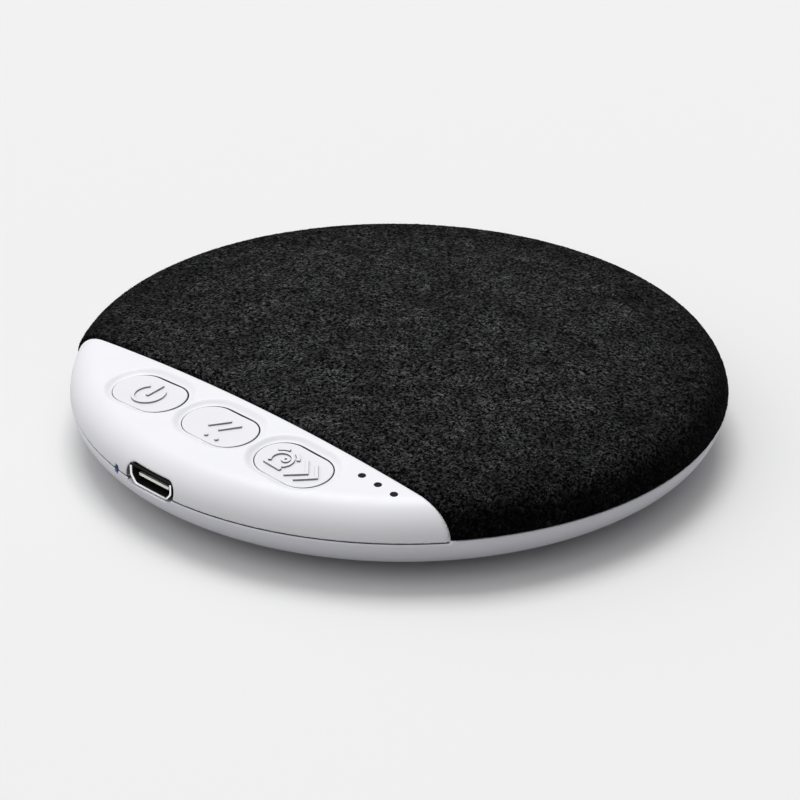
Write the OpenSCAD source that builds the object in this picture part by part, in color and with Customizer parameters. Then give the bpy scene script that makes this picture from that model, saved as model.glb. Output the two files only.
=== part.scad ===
// Pillow speaker: a flat round sound unit with a felt top, a white key panel and a charging socket.
// Millimetres, +Z up. The origin is under the middle of the body, on the surface it stands on.
// The key panel and the socket face -Y.

/* [Body] */
// Diameter of the plastic body at the seam
body_d = 88; // [84:1:110]
// Diameter of the flat of the base
base_d = 64.6; // [60:0.2:68]
// Height of the bottom shell, from its flat to the seam
base_h = 6.2; // [5.8:0.1:9]
// Height of the panel's crown above the seam
cover_h = 7.2; // [6.8:0.1:10]
// Radius of the roll at the rim of the top
corner_r = 4.8; // [4.4:0.1:5.4]
// Wall of the shell and the panel
wall = 1.6; // [1.2:0.1:1.8]
// Gap at the seam between panel and shell
seam = 0.15; // [0.1:0.05:0.3]
// Clearance between pieces that locate one another
fit_gap = 0.15; // [0.1:0.05:0.3]

/* [Fabric] */
// Thickness of the felt
fabric_t = 0.8; // [0.5:0.1:1.2]
// How far the felt stands proud of the panel
fabric_proud = 0.35; // [0.1:0.05:0.5]
// Height of the felt's lower edge above the seam
hem_z = 0.4; // [0.3:0.05:0.8]
// Depth of the flap tucked in along the straight edge
flap_h = 1.8; // [1:0.1:2.2]

/* [Grille] */
// Thickness of the perforated plate
grille_t = 1.4; // [1:0.1:1.6]
// Diameter of one sound hole
sound_hole_d = 2.4; // [1.6:0.1:2.8]
// Distance between rings of sound holes
sound_pitch = 4.2; // [3.6:0.1:4.4]
// Rings of sound holes round the middle one
sound_rings = 4; // [2:1:4]
// Height of the shell's locating lip above the seam
lip_h = 1.2; // [0.8:0.1:1.4]
// Thickness of the locating lip
lip_t = 1; // [0.8:0.1:1.4]

/* [Panel and keys] */
// Depth of the panel from the rim to its straight edge
panel_depth = 17.7; // [17:0.1:20]
// Distance from the rim to the row of keys
key_inset = 11.7; // [11:0.1:12.4]
// Distance between keys
key_pitch = 13.6; // [13.2:0.1:14.4]
// Length of a key
key_l = 11.2; // [10:0.1:11.6]
// Width of a key
key_w = 7.1; // [6:0.1:7.4]
// Gap round a key in its opening
key_gap = 0.15; // [0.1:0.05:0.25]
// Drop of a key's rim below the panel
key_drop = 0.3; // [0.1:0.05:0.3]
// Depth of the finger dish in the middle of a key, below the panel
key_dish = 0.6; // [0.35:0.05:0.6]
// Radius of the finger dish
key_dish_r = 62; // [50:1:90]
// Height of the raised pictograms
icon_h = 0.25; // [0.1:0.05:0.3]
// Width of a pictogram's strokes
icon_stroke = 0.45; // [0.35:0.05:0.55]
// Width of the bevel round a key opening
bevel_w = 1; // [0.6:0.1:1.2]
// Depth of that bevel
bevel_h = 0.2; // [0.1:0.05:0.3]
// Width of the flange that stops a key under the panel
flange_w = 0.7; // [0.5:0.1:0.8]
// Thickness of that flange at its thin end
flange_t = 0.6; // [0.5:0.1:0.7]
// Travel of a key
key_travel = 0.3; // [0.2:0.05:0.4]
// Diameter of a key's post
post_d = 3; // [2.4:0.1:3.6]

/* [Lights] */
// Diameter of an indicator window
window_d = 0.9; // [0.8:0.1:1.2]
// Distance between indicator windows
window_pitch = 2.8; // [2.4:0.1:3]
// Place of the middle indicator window across the panel
window_x = 24.8; // [24:0.1:25.6]
// Distance from the straight edge to the row of windows
window_inset = 2.3; // [1.8:0.1:2.8]
// Place of the charge light to the left of the middle
charge_x = 7.7; // [6:0.1:9]
// Width of the charge light's window
charge_w = 0.6; // [0.6:0.1:1]
// Height of the charge light's window
charge_h = 1; // [0.8:0.1:1.5]

/* [Board] */
// Thickness of the board
board_t = 1; // [0.8:0.1:1.2]
// Drop of the board's top below the seam
board_drop = 0.4; // [0.1:0.05:0.6]
// How far the board reaches behind the panel's straight edge
board_back = 1.7; // [1:0.1:2]
// Height of a switch's body
switch_h = 1.5; // [1.3:0.1:1.6]
// Length of a switch's body
switch_l = 4.2; // [3.6:0.1:4.6]
// Width of a switch's body
switch_w = 3.2; // [2.8:0.1:3.6]
// Diameter of a switch's plunger
plunger_d = 1.6; // [1.4:0.1:2]
// How far a plunger stands above its switch
plunger_h = 0.55; // [0.5:0.05:0.6]
// Place of the board's screws across the panel
board_screw_x = 22.5; // [22.3:0.1:23]
// Diameter of the screws' thread
screw_d = 1.8; // [1.6:0.1:2]
// Diameter of the screws' heads
screw_head_d = 3.2; // [3:0.1:3.6]
// Wall round a screw in its boss
boss_wall = 0.7; // [0.6:0.1:0.9]

/* [Socket] */
// Width of the micro-USB shell
usb_w = 7.5; // [7.4:0.1:7.8]
// Height of the micro-USB shell
usb_h = 2.5; // [2.4:0.05:2.6]
// Length of the micro-USB shell
usb_l = 5.6; // [5:0.1:6]
// Thickness of its sheet metal
usb_t = 0.2; // [0.2:0.05:0.35]
// Chamfer of its lower corners
usb_chamfer = 0.95; // [0.8:0.05:1.1]
// How far its mouth lies inside the rim
usb_recess = 0.5; // [0.3:0.1:1]
// Room round it in the housing
usb_gap = 0.3; // [0.25:0.05:0.5]
// Place of its middle across the panel
usb_x = -0.9; // [-1.5:0.1:1.5]
// How far the lips of its mouth flare out
usb_flare = 0.2; // [0.1:0.05:0.25]

/* [Battery] */
// Length of the battery cell
battery_l = 33; // [28:0.5:34]
// Width of the battery cell
battery_w = 13; // [11:0.5:13.5]
// Thickness of the battery cell
battery_t = 4.4; // [3.6:0.1:4.6]
// Thickness of its adhesive pad
pad_t = 0.3; // [0.2:0.05:0.5]
// Diameter of an insulated lead
lead_d = 0.9; // [0.7:0.1:1]

/* [Driver] */
// Diameter of the driver's frame
driver_d = 46; // [44:0.5:47]
// Room between the frame and the rim of the body
driver_inset = 7.2; // [6.8:0.1:8]
// Thickness of the frame's sheet metal
frame_t = 0.7; // [0.5:0.1:0.8]
// Thickness of the gasket over the frame
gasket_t = 0.5; // [0.3:0.1:0.6]
// Drop of the driver's seat below the crown
seat_drop = 4.85; // [4.7:0.05:5]
// Width of the frame's rim
rim_w = 4; // [3.6:0.1:4.2]
// Diameter of the magnet
magnet_d = 15.6; // [14:0.1:16]
// Thickness of the magnet
magnet_t = 1.2; // [0.9:0.1:1.3]
// Thickness of the top plate
top_plate_t = 0.8; // [0.6:0.1:0.9]
// Thickness of the yoke's floor
yoke_t = 0.8; // [0.6:0.1:0.9]
// Wall of the yoke's cup
yoke_wall = 0.9; // [0.7:0.1:1.2]
// Wall of the voice coil
coil_t = 0.6; // [0.4:0.05:0.7]
// Clearance on each side of the voice coil
coil_gap = 0.4; // [0.3:0.05:0.5]
// Thickness of the cone
cone_t = 0.35; // [0.25:0.05:0.45]
// Travel of the cone each way
cone_travel = 0.5; // [0.3:0.05:0.5]
// Width of the surround's roll
roll_w = 2.6; // [2.2:0.1:3]

/* [Feet and case screws] */
// How far the rubber feet lift the base
foot_h = 0.6; // [0.4:0.1:1]
// Diameter of a foot
foot_d = 9; // [8:0.1:9.6]
// Depth of a foot's recess
recess_h = 0.7; // [0.5:0.1:0.8]
// Diameter of a case boss
boss_d = 5.2; // [4.8:0.1:5.6]
// Height of a case screw's head
case_head_h = 1.3; // [1:0.1:1.4]
// Length of a case screw under its head
case_screw_l = 6.4; // [6:0.1:7]

/* [Hidden] */
$fn = 64;
slop = 0.01;
contact = 0.05;
corner_steps = 8;
dome_steps = 6;
bowl_steps = 12;
body_r = body_d / 2;
base_r = base_d / 2;
seam_z = foot_h + base_h;
floor_z = foot_h + wall;
crown_z = seam_z + cover_h;
reach = body_d;

// The top's outer line: a roll that leaves the rim upright, then a dome tangent to it
dome_r = (pow(body_r - corner_r, 2) + pow(cover_h, 2) - pow(corner_r, 2)) / (2 * (cover_h - corner_r));
roll_centre = [body_r - corner_r, seam_z];
dome_centre = [0, crown_z - dome_r];
roll_turn = atan2(dome_r - cover_h, body_r - corner_r);

// Depths below the panel's outer line, down through the felt and the grille plate
felt_under = fabric_t - fabric_proud;
grille_out = felt_under + contact;
grille_in = grille_out + grille_t;

// Straight edge, keys and windows
chord_y = -(body_r - panel_depth);
felt_y = chord_y + fit_gap;
grille_y = felt_y + fabric_t + contact;
key_y = -(body_r - key_inset);
window_y = chord_y - window_inset;
window_xs = [for (k = [-1, 0, 1]) window_x + k * window_pitch];

// Board and what stands on it
board_top = seam_z - board_drop;
board_z = board_top - board_t;
board_edge_gap = 0.4;
board_r = bowl_r(-wall, board_z) - board_edge_gap;
board_y = chord_y + board_back;
board_screw_y = key_y + 0.4;
board_screw_boss_d = screw_d + 2 * boss_wall;
board_head_h = 0.8;
board_thread_l = 2;
window_drop = 0.1;
switch_top = board_top + switch_h;
post_z = switch_top + plunger_h + 0.05;
plunger_foot_h = 0.4;
led_l = 1.6;
led_w = 0.8;
led_h = 0.6;
charge_end_y = -sqrt(pow(body_r, 2) - pow(charge_x + charge_w / 2, 2));
charge_l = -charge_end_y - sqrt(pow(board_r, 2) - pow(charge_x - charge_w / 2, 2)) - fit_gap;
charge_led_y = -sqrt(pow(board_r, 2) - pow(charge_x + led_l / 2, 2)) + led_w / 2;

// Flange under the panel, thinnest where the roll comes down over the outer keys
key_end_r = norm([key_pitch + (key_l - key_w) / 2, key_y]) + key_w / 2 + flange_w;
flange_top = under_z(key_end_r, wall + key_gap);
flange_z = flange_top - flange_t;
key_z = flange_top;

// Socket: the shell's mouth, its tongue with five contacts, and the opening in the rim
usb_y = -(body_r - usb_recess);
usb_back = usb_y + usb_l;
usb_side_gap = usb_gap + 0.5;
usb_lip_l = 0.35;
tongue_w = 5.6;
tongue_t = 0.4;
tongue_y = usb_y + 0.6;
tongue_z = board_top + usb_h - usb_t - 0.9 - tongue_t;
tongue_root = 1.2;
contact_pitch = 0.65;
contact_w = 0.37;
contact_t = 0.12;
contact_set = 0.2;

// Chips and small parts on the board, as length, width and height
sound_chip_size = [4.8, 4.8, 0.9];
amplifier_size = [4, 4, 0.9];
inductor_size = [3, 3, 1.4];
capacitor_size = [1, 1.6, 0.8];
capacitor_count = 4;
capacitor_pitch = 2.4;
part_row_y = key_y - 3.8;
chip_row_y = key_y + 0.8;

// Battery, behind the board
battery_front = board_y + 1;
battery_y = battery_front + battery_w / 2;
battery_z = floor_z + pad_t;
battery_top = battery_z + battery_t;
pad_inset = 1;
fence_t = 0.8;
fence_h = 2;

// Lead sockets, under the ledge
socket_l = 4;
socket_w = 3;
socket_h = 1.7;
socket_y = board_y - socket_w / 2 - 0.3;
battery_socket_x = -14.5;
speaker_socket_x = 4.5;
lead_r = lead_d / 2;
lead_pitch = 1.4;

// Ledge on the panel that carries the grille's straight edge
ledge_l = 44;
ledge_w = 4.4;
ledge_t = 0.9;
ledge_top = under_z(norm([ledge_l / 2, grille_y]), grille_in) - 0.3;
chord_wall_t = 1.2;
rib_y = grille_y + 0.8;
rib_w = 1;

// Driver, from its seat down
driver_r = driver_d / 2;
driver_y = body_r - driver_inset - driver_r;
seat_z = crown_z - seat_drop;
seat_w = 3.2;
frame_top = seat_z - gasket_t;
frame_under = frame_top - frame_t;
basket_in_r = driver_r - rim_w;
driver_screw_r = driver_r - 1.9;
driver_screw_d = 1.4;
driver_screw_head_d = 2.4;
driver_screw_head_h = 0.6;
driver_screw_l = 2.6;
motor_z = floor_z + 0.3;
magnet_z = motor_z + yoke_t;
top_plate_z = magnet_z + magnet_t;
yoke_top = top_plate_z + top_plate_t;
magnet_r = magnet_d / 2;
top_plate_r = magnet_r + 0.4;
coil_in_r = top_plate_r + coil_gap;
coil_out_r = coil_in_r + coil_t;
yoke_in_r = coil_out_r + coil_gap;
yoke_out_r = yoke_in_r + yoke_wall;
neck_z = yoke_top + frame_t + cone_travel + 0.2;
coil_z = magnet_z + cone_travel + 0.2;
cone_lip = 0.4;
cone_r = basket_in_r - roll_w;
cone_top = frame_top - 0.05;
cap_rise = 0.9;
cap_t = 0.3;
roll_t = 0.3;
terminal_l = 8;
terminal_w = 2;
terminal_t = 0.7;
terminal_y = driver_y - driver_r + 1.4;

// Case screws and feet
case_points = [
    for (s = [-1, 1]) [s * (driver_r + boss_d / 2 + 0.3), driver_y - 8],
    for (s = [-1, 1]) [s * (battery_l / 2 + boss_d / 2 + 2.9), battery_y + 2]
];
head_seat_z = foot_h + recess_h + case_head_h + 0.2;
shell_boss_top = seam_z - 0.6;
grille_boss_z = shell_boss_top + 0.1;
thread_fit = 0.05;
screw_play = 0.4;
cross_w = 0.4;

// Radius of the bottom shell at a height, on its outer line moved out by grow
function bowl_r(grow, z) =
    base_r + (body_r - base_r + grow) * sqrt(1 - pow((seam_z - z) / (base_h + grow), 2));

// Height of the top at a radius, this far below the panel's outer line
function under_z(r, depth) = r < body_r - corner_r
    ? dome_centre.y + sqrt(pow(dome_r - depth, 2) - r * r)
    : seam_z + sqrt(pow(corner_r - depth, 2) - pow(r - roll_centre.x, 2));

function arc_points(centre, r, from, to, steps) =
    [for (k = [0 : steps]) let (a = from + (to - from) * k / steps) centre + r * [cos(a), sin(a)]];

// The top's outer line from the rim to the axis, moved out by grow
function roof_line(grow) = concat(
    arc_points(roll_centre, corner_r + grow, 0, roll_turn, corner_steps),
    [for (k = [1 : dome_steps]) arc_points(dome_centre, dome_r + grow, roll_turn, 90, dome_steps)[k]]
);

// The bottom shell's outer line from the rim to its flat, moved out by grow
function bowl_line(grow) = [
    for (k = [0 : bowl_steps]) let (a = 90 * k / bowl_steps)
        [base_r + (body_r - base_r + grow) * cos(a), seam_z - (base_h + grow) * sin(a)]
];

// Everything under the top's outer line, down to low
module under_roof(grow, low) {
    rotate_extrude($fn = 128)
        polygon(concat([[0, low], [body_r + grow, low]], roof_line(grow)));
}

// Everything inside the bottom shell's outer line, open upward
module in_bowl(grow) {
    rotate_extrude($fn = 128)
        polygon(concat(
            [[0, crown_z], [body_r + grow, crown_z]],
            bowl_line(grow),
            [[0, seam_z - base_h - grow]]
        ));
}

module front_of(y) {
    translate([-reach, y - reach, -reach]) cube([2 * reach, reach, 2 * reach]);
}

module behind(y) {
    translate([-reach, y, -reach]) cube([2 * reach, reach, 2 * reach]);
}

module above(z) {
    translate([-reach, -reach, z]) cube([2 * reach, 2 * reach, reach]);
}

module slot_outline(l, w) {
    square([l - w, w], center = true);
    for (s = [-1, 1]) translate([s * (l - w) / 2, 0]) circle(d = w);
}

// A slot that widens upward by flare
module slot_flare(l, w, h, flare) {
    for (s = [-1, 1]) translate([s * (l - w) / 2, 0, 0]) cylinder(h = h, d1 = w, d2 = w + 2 * flare);
    rotate([90, 0, 90]) linear_extrude(l - w, center = true)
        polygon([[-w / 2, 0], [w / 2, 0], [w / 2 + flare, h], [-w / 2 - flare, h]]);
}

module tube(r_in, r_out, h) {
    difference() {
        cylinder(r = r_out, h = h);
        translate([0, 0, -slop]) cylinder(r = r_in, h = h + 2 * slop);
    }
}

module at_driver(z = 0) {
    translate([0, driver_y, z]) children();
}

module at_keys() {
    for (k = [-1, 0, 1]) translate([k * key_pitch, key_y, 0]) children();
}

module at_windows(z = 0) {
    for (x = window_xs) translate([x, window_y, z]) children();
}

module at_board_screws(z = 0) {
    for (s = [-1, 1]) translate([s * board_screw_x, board_screw_y, z]) children();
}

module at_driver_screws(z = 0) {
    at_driver(z) for (a = [45 : 90 : 315]) rotate(a) translate([driver_screw_r, 0, 0]) children();
}

module at_case_screws(z = 0) {
    for (p = case_points) translate([p.x, p.y, z]) children();
}

// A round tube swept along a route's points, each ring square to the way the route runs there
module lead(route, sides = 8) {
    last = len(route) - 1;
    ways = [for (k = [0 : last]) unit(route[min(k + 1, last)] - route[max(k - 1, 0)])];
    rings = [for (k = [0 : last])
        let (across = unit(cross(ways[k], [0.2, 0.3, 1])), up = cross(ways[k], across))
        [for (s = [0 : sides - 1]) let (a = 360 * s / sides)
            route[k] + lead_r * (cos(a) * across + sin(a) * up)]];
    polyhedron(
        points = [for (ring = rings) each ring],
        faces = concat(
            [for (k = [0 : last - 1], s = [0 : sides - 1]) let (t = (s + 1) % sides)
                each [[k * sides + s, (k + 1) * sides + s, k * sides + t],
                      [k * sides + t, (k + 1) * sides + s, (k + 1) * sides + t]]],
            [[for (s = [0 : sides - 1]) s]],
            [[for (s = [sides - 1 : -1 : 0]) last * sides + s]]
        )
    );
}

function unit(v) = v / norm(v);

// Room for the socket and the charge light through the rim
module rim_openings() {
    translate([usb_x, usb_back, board_top + usb_h / 2]) rotate([90, 0, 0]) linear_extrude(reach)
        slot_outline(usb_w + 2 * usb_side_gap, usb_h + 2 * usb_gap);
    charge_prism(fit_gap, reach);
}

module charge_prism(grow, l) {
    translate([-charge_x, charge_end_y + charge_l, seam_z]) rotate([90, 90, 0]) linear_extrude(l)
        slot_outline(charge_h + 2 * grow, charge_w + 2 * grow);
}

module bottom_shell() {
    color("white") difference() {
        union() {
            shell_dish();
            locating_lip();
            intersection() {
                union() {
                    at_case_screws() cylinder(d = boss_d, h = shell_boss_top);
                    board_posts();
                    battery_fence();
                }
                in_bowl(-wall / 2);
            }
        }
        at_case_screws() {
            cylinder(d = screw_d + screw_play, h = crown_z);
            cylinder(d = screw_head_d + screw_play, h = head_seat_z);
            cylinder(d = foot_d + 2 * fit_gap, h = foot_h + recess_h);
        }
    }
}

// The dish itself, higher under the felt and notched at the seam for the socket and the charge light
module shell_dish() {
    difference() {
        in_bowl(0);
        in_bowl(-wall);
        above(seam_z + hem_z - seam);
        intersection() {
            above(seam_z - seam / 2);
            front_of(felt_y);
        }
        rim_openings();
    }
}

// Upstand inside the rim that centres the grille plate
module locating_lip() {
    out_r = roll_centre.x + sqrt(pow(corner_r - grille_in, 2) - pow(lip_h, 2)) - fit_gap;
    intersection() {
        rotate_extrude($fn = 128) polygon([
            [out_r - lip_t, seam_z - 1.6],
            [body_r - wall / 2, seam_z - 1.6],
            [body_r - wall / 2, seam_z - 0.3],
            [out_r, seam_z - 0.3],
            [out_r, seam_z + lip_h],
            [out_r - lip_t, seam_z + lip_h]
        ]);
        behind(chord_y + 3);
    }
}

module board_posts() {
    for (p = [[-16, key_y - 3.4], [16, key_y - 3.4], [0, board_y - 2.4]])
        translate([p.x, p.y, 0]) cylinder(d = 3, h = board_z);
}

module battery_fence() {
    side = battery_w / 2 + fit_gap + fence_t / 2;
    for (s = [-1, 1]) translate([-battery_l / 4, battery_y + s * side - fence_t / 2, 0])
        cube([battery_l / 2, fence_t, floor_z + fence_h]);
}

module control_panel() {
    color("white") difference() {
        union() {
            intersection() {
                difference() {
                    under_roof(0, seam_z - 1);
                    difference() {
                        under_roof(-wall, seam_z - 2);
                        panel_inside();
                    }
                }
                above(seam_z + seam / 2);
                front_of(chord_y);
            }
            panel_ledge();
        }
        at_keys() {
            linear_extrude(reach) slot_outline(key_l + 2 * key_gap, key_w + 2 * key_gap);
        }
        for (k = [-1, 0, 1]) key_bevel(k);
        at_windows() cylinder(d = window_d + 2 * contact, h = reach, $fn = 24);
        at_board_screws() cylinder(d = screw_d - 2 * thread_fit, h = board_top + board_thread_l + 0.4);
        rim_openings();
    }
}

// Bevel round a key's opening, square to the dome there
module key_bevel(k) {
    r = norm([k * key_pitch, key_y]);
    turn = atan2(key_y, k * key_pitch);
    inner = 2 * (key_gap - bevel_w);
    translate([k * key_pitch, key_y, under_z(r, 2 * bevel_h)])
        rotate(turn) rotate([0, asin(r / dome_r), 0]) rotate(-turn)
            slot_flare(key_l + inner, key_w + inner, 3 * bevel_h, 3 * bevel_w);
}

// Stiffening wall along the straight edge and bosses for the board's screws
module panel_inside() {
    translate([-reach / 2, chord_y - chord_wall_t, ledge_top - ledge_t])
        cube([reach, chord_wall_t + slop, reach]);
    at_board_screws(board_top) cylinder(d = board_screw_boss_d, h = reach);
}

module panel_ledge() {
    translate([-ledge_l / 2, chord_y - chord_wall_t, ledge_top - ledge_t])
        cube([ledge_l, ledge_w, ledge_t]);
}

module grille_plate() {
    color([0.12, 0.12, 0.13]) difference() {
        union() {
            intersection() {
                difference() {
                    under_roof(-grille_out, seam_z - 1);
                    under_roof(-grille_in, seam_z - 2);
                }
                above(seam_z + hem_z + fabric_t + contact);
                behind(grille_y);
            }
            intersection() {
                union() {
                    at_driver(seat_z) tube(driver_r - seat_w, driver_r, reach);
                    at_case_screws(grille_boss_z) cylinder(d = boss_d, h = reach);
                    translate([-ledge_l / 2, rib_y, ledge_top]) cube([ledge_l, rib_w, reach]);
                }
                under_roof(-grille_out - grille_t / 2, 0);
            }
        }
        at_driver(seat_z) sound_holes();
        at_case_screws() cylinder(d = screw_d - 2 * thread_fit, h = head_seat_z + case_screw_l + 0.4);
        at_driver_screws(seat_z - slop) cylinder(d = driver_screw_d - 2 * thread_fit, h = 1.6, $fn = 24);
    }
}

module sound_holes() {
    cylinder(d = sound_hole_d, h = reach, $fn = 24);
    for (ring = [1 : sound_rings], k = [0 : 6 * ring - 1])
        rotate(60 * k / ring) translate([ring * sound_pitch, 0, 0])
            cylinder(d = sound_hole_d, h = reach, $fn = 24);
}

// Felt skin, its flap along the straight edge and its hem turned in under the plate's skirt
module fabric_cover() {
    color([0.16, 0.16, 0.17]) {
        intersection() {
            difference() {
                under_roof(fabric_proud, seam_z - 1);
                under_roof(-felt_under, seam_z - 2);
            }
            above(seam_z + hem_z);
            behind(felt_y);
        }
        intersection() {
            under_roof(0, 0);
            translate([-reach, felt_y, flap_z()]) cube([2 * reach, fabric_t, reach]);
        }
        intersection() {
            translate([0, 0, seam_z + hem_z]) tube(body_r - grille_in, body_r, fabric_t);
            behind(felt_y);
        }
    }
}

// Lower edge of the flap tucked in along the straight edge
function flap_z() = under_z(abs(felt_y), 0) - flap_h;

module rubber_feet() {
    color("dimgray") at_case_screws() cylinder(d = foot_d, h = foot_h + recess_h);
}

// A pan-head screw that points up, its head under z = 0
module screw(d, head_d, head_h, l) {
    translate([0, 0, -head_h]) difference() {
        cylinder(d = head_d, h = head_h);
        for (a = [0, 90]) rotate(a) translate([-head_d / 4, -cross_w / 2, -slop])
            cube([head_d / 2, cross_w, head_h / 2]);
    }
    cylinder(d = d, h = l);
}

module case_screws() {
    color("silver") at_case_screws(head_seat_z)
        screw(screw_d - 4 * thread_fit, screw_head_d, case_head_h, case_screw_l);
}

module main_board() {
    color("darkgreen") translate([0, 0, board_z]) difference() {
        intersection() {
            cylinder(r = board_r, h = board_t);
            front_of(board_y);
        }
        at_board_screws(-slop) cylinder(d = screw_d + screw_play, h = reach);
    }
}

module board_screws() {
    color("silver") at_board_screws(board_z)
        screw(screw_d - 4 * thread_fit, screw_head_d, board_head_h, board_t + board_thread_l);
}

module usb_outline(inset) {
    half = usb_w / 2 - inset;
    low = usb_chamfer - inset / 3;
    polygon([
        [-half + low, inset], [half - low, inset], [half, inset + low], [half, usb_h - inset],
        [-half, usb_h - inset], [-half, inset + low]
    ]);
}

module usb_prism(inset, l) {
    translate([usb_x, usb_y + l, board_top]) rotate([90, 0, 0]) linear_extrude(l) usb_outline(inset);
}

module usb_shell() {
    color("silver") difference() {
        union() {
            usb_prism(0, usb_l);
            usb_prism(-usb_flare, usb_lip_l);
        }
        translate([0, -slop, 0]) {
            usb_prism(usb_t, usb_l + 2 * slop);
            usb_prism(usb_t - usb_flare, usb_lip_l + slop);
        }
    }
}

module usb_tongue() {
    color("whitesmoke") {
        intersection() {
            usb_prism(usb_t + contact, usb_l);
            behind(usb_back - tongue_root);
        }
        translate([usb_x - tongue_w / 2, tongue_y, tongue_z])
            cube([tongue_w, usb_back - tongue_root - tongue_y + slop, tongue_t]);
    }
}

module usb_contacts() {
    start = tongue_y + contact_set;
    color("gold") for (k = [-2 : 2])
        translate([usb_x + k * contact_pitch - contact_w / 2, start, tongue_z - contact_t])
            cube([contact_w, usb_back - tongue_root - contact - start, contact_t]);
}

module switch_bodies() {
    color("dimgray") at_keys() translate([0, 0, board_top]) difference() {
        translate([-switch_l / 2, -switch_w / 2, 0]) cube([switch_l, switch_w, switch_h]);
        translate([0, 0, switch_h - plunger_foot_h - key_travel - contact])
            cylinder(d = plunger_d + 2 * fit_gap, h = reach);
    }
}

module plunger(k) {
    color("black") translate([k * key_pitch, key_y, switch_top - plunger_foot_h])
        cylinder(d = plunger_d, h = plunger_foot_h + plunger_h);
}

module power_plunger() { plunger(-1); }
module noise_plunger() { plunger(0); }
module skip_plunger() { plunger(1); }

// A key: cap with a finger dish, flange under the panel and post over its switch
module key(k) {
    at = [k * key_pitch, key_y];
    up = unit([at.x, at.y, sqrt(pow(dome_r, 2) - pow(norm(at), 2))]);
    dish_at = [at.x, at.y, under_z(norm(at), 0)] + up * (key_dish_r - key_dish);
    color("white") difference() {
        union() {
            intersection() {
                translate([at.x, at.y, key_z - slop]) linear_extrude(reach) slot_outline(key_l, key_w);
                under_roof(-key_drop, 0);
            }
            intersection() {
                translate([at.x, at.y, key_z]) linear_extrude(reach) children();
                under_roof(0, 0);
            }
            intersection() {
                translate([at.x, at.y, flange_z]) linear_extrude(reach)
                    slot_outline(key_l + 2 * flange_w, key_w + 2 * flange_w);
                under_roof(-wall - key_gap, 0);
            }
            translate([at.x, at.y, post_z]) cylinder(d = post_d, h = flange_z - post_z + slop);
        }
        difference() {
            translate(dish_at) sphere(r = key_dish_r, $fn = 128);
            difference() {
                translate([at.x, at.y, key_z]) linear_extrude(reach) children();
                translate(dish_at) sphere(r = key_dish_r - icon_h, $fn = 128);
            }
        }
    }
}

module stroke(from, to) {
    way = to - from;
    translate(from) rotate(atan2(way.y, way.x)) translate([0, -icon_stroke / 2])
        square([norm(way), icon_stroke]);
}

module ring_stroke(r) {
    difference() {
        circle(r = r + icon_stroke / 2);
        circle(r = r - icon_stroke / 2);
    }
}

// Sector between two angles less than a half turn apart
module sector(r, from, to) {
    polygon([[0, 0], for (k = [0 : 2]) let (a = from + (to - from) * k / 2) 2 * r * [cos(a), sin(a)]]);
}

module power_icon() {
    ring_r = 2.1;
    translate([0, -0.2]) difference() {
        ring_stroke(ring_r);
        sector(ring_r, 48, 132);
    }
    stroke([0, -0.55], [0, 2.35]);
}

module noise_icon() {
    for (s = [-1, 1]) {
        translate([0.3 + 0.94 * s, 0.55]) stroke([-0.9, -1.22], [0.9, 1.22]);
        translate([0.97 + 0.96 * s, -2.43]) circle(r = 0.28);
    }
}

// A bell with sound arcs, and two chevrons whose arms overlap at the tip
module skip_icon() {
    bell_r = 1.475;
    arc_r = 2.15;
    lap = icon_stroke / 2 / sqrt(2);
    translate([-2, -0.2]) {
        difference() {
            ring_stroke(bell_r);
            sector(bell_r, 225, 315);
        }
        for (a = [32, 104]) intersection() {
            ring_stroke(arc_r);
            sector(arc_r, a, a + 44);
        }
        stroke([-1.4, -1.65], [1.5, -1.65]);
        translate([0.4, 0.35]) ring_stroke(0.4);
    }
    for (x = [2.6, 4.3]) for (s = [-1, 1])
        stroke([x - 2.05, 2.05 * s - 0.25], [x + lap, -lap * s - 0.25]);
}

module power_button() { key(-1) power_icon(); }
module noise_button() { key(0) noise_icon(); }
module skip_button() { key(1) skip_icon(); }

module indicator_leds() {
    color("ivory") for (x = window_xs) board_part(x, window_y, [led_w, led_l, led_h]);
}

module indicator_pipes() {
    color("dimgray") intersection() {
        at_windows(board_top + led_h + contact) cylinder(d = window_d, h = reach, $fn = 24);
        under_roof(-window_drop, 0);
    }
}

module charge_led() {
    color("ivory") board_part(-charge_x, charge_led_y, [led_l, led_w, led_h]);
}

module charge_pipe() {
    color("dodgerblue") charge_prism(0, charge_l - contact);
}

// A block on the board, centred at x and y
module board_part(x, y, size) {
    translate([x - size.x / 2, y - size.y / 2, board_top]) cube(size);
}

module sound_chip() {
    color("black") board_part(-key_pitch / 2, chip_row_y, sound_chip_size);
}

module amplifier_chip() {
    color("black") board_part(key_pitch / 2, chip_row_y, amplifier_size);
}

module inductor() {
    color("gray") board_part(key_pitch / 2 + inductor_size.x, part_row_y, inductor_size);
}

module capacitors() {
    color("tan") for (k = [1 : capacitor_count])
        board_part(-key_pitch + capacitor_pitch * k, part_row_y, capacitor_size);
}

module lead_socket(x) {
    color("ivory") board_part(x, socket_y, [socket_l, socket_w, socket_h]);
}

module battery_socket() { lead_socket(battery_socket_x); }
module speaker_socket() { lead_socket(speaker_socket_x); }

module battery_pad() {
    size = [battery_l - 2 * pad_inset, battery_w - 2 * pad_inset, pad_t];
    color("khaki") translate([-size.x / 2, battery_y - size.y / 2, floor_z]) cube(size);
}

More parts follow.
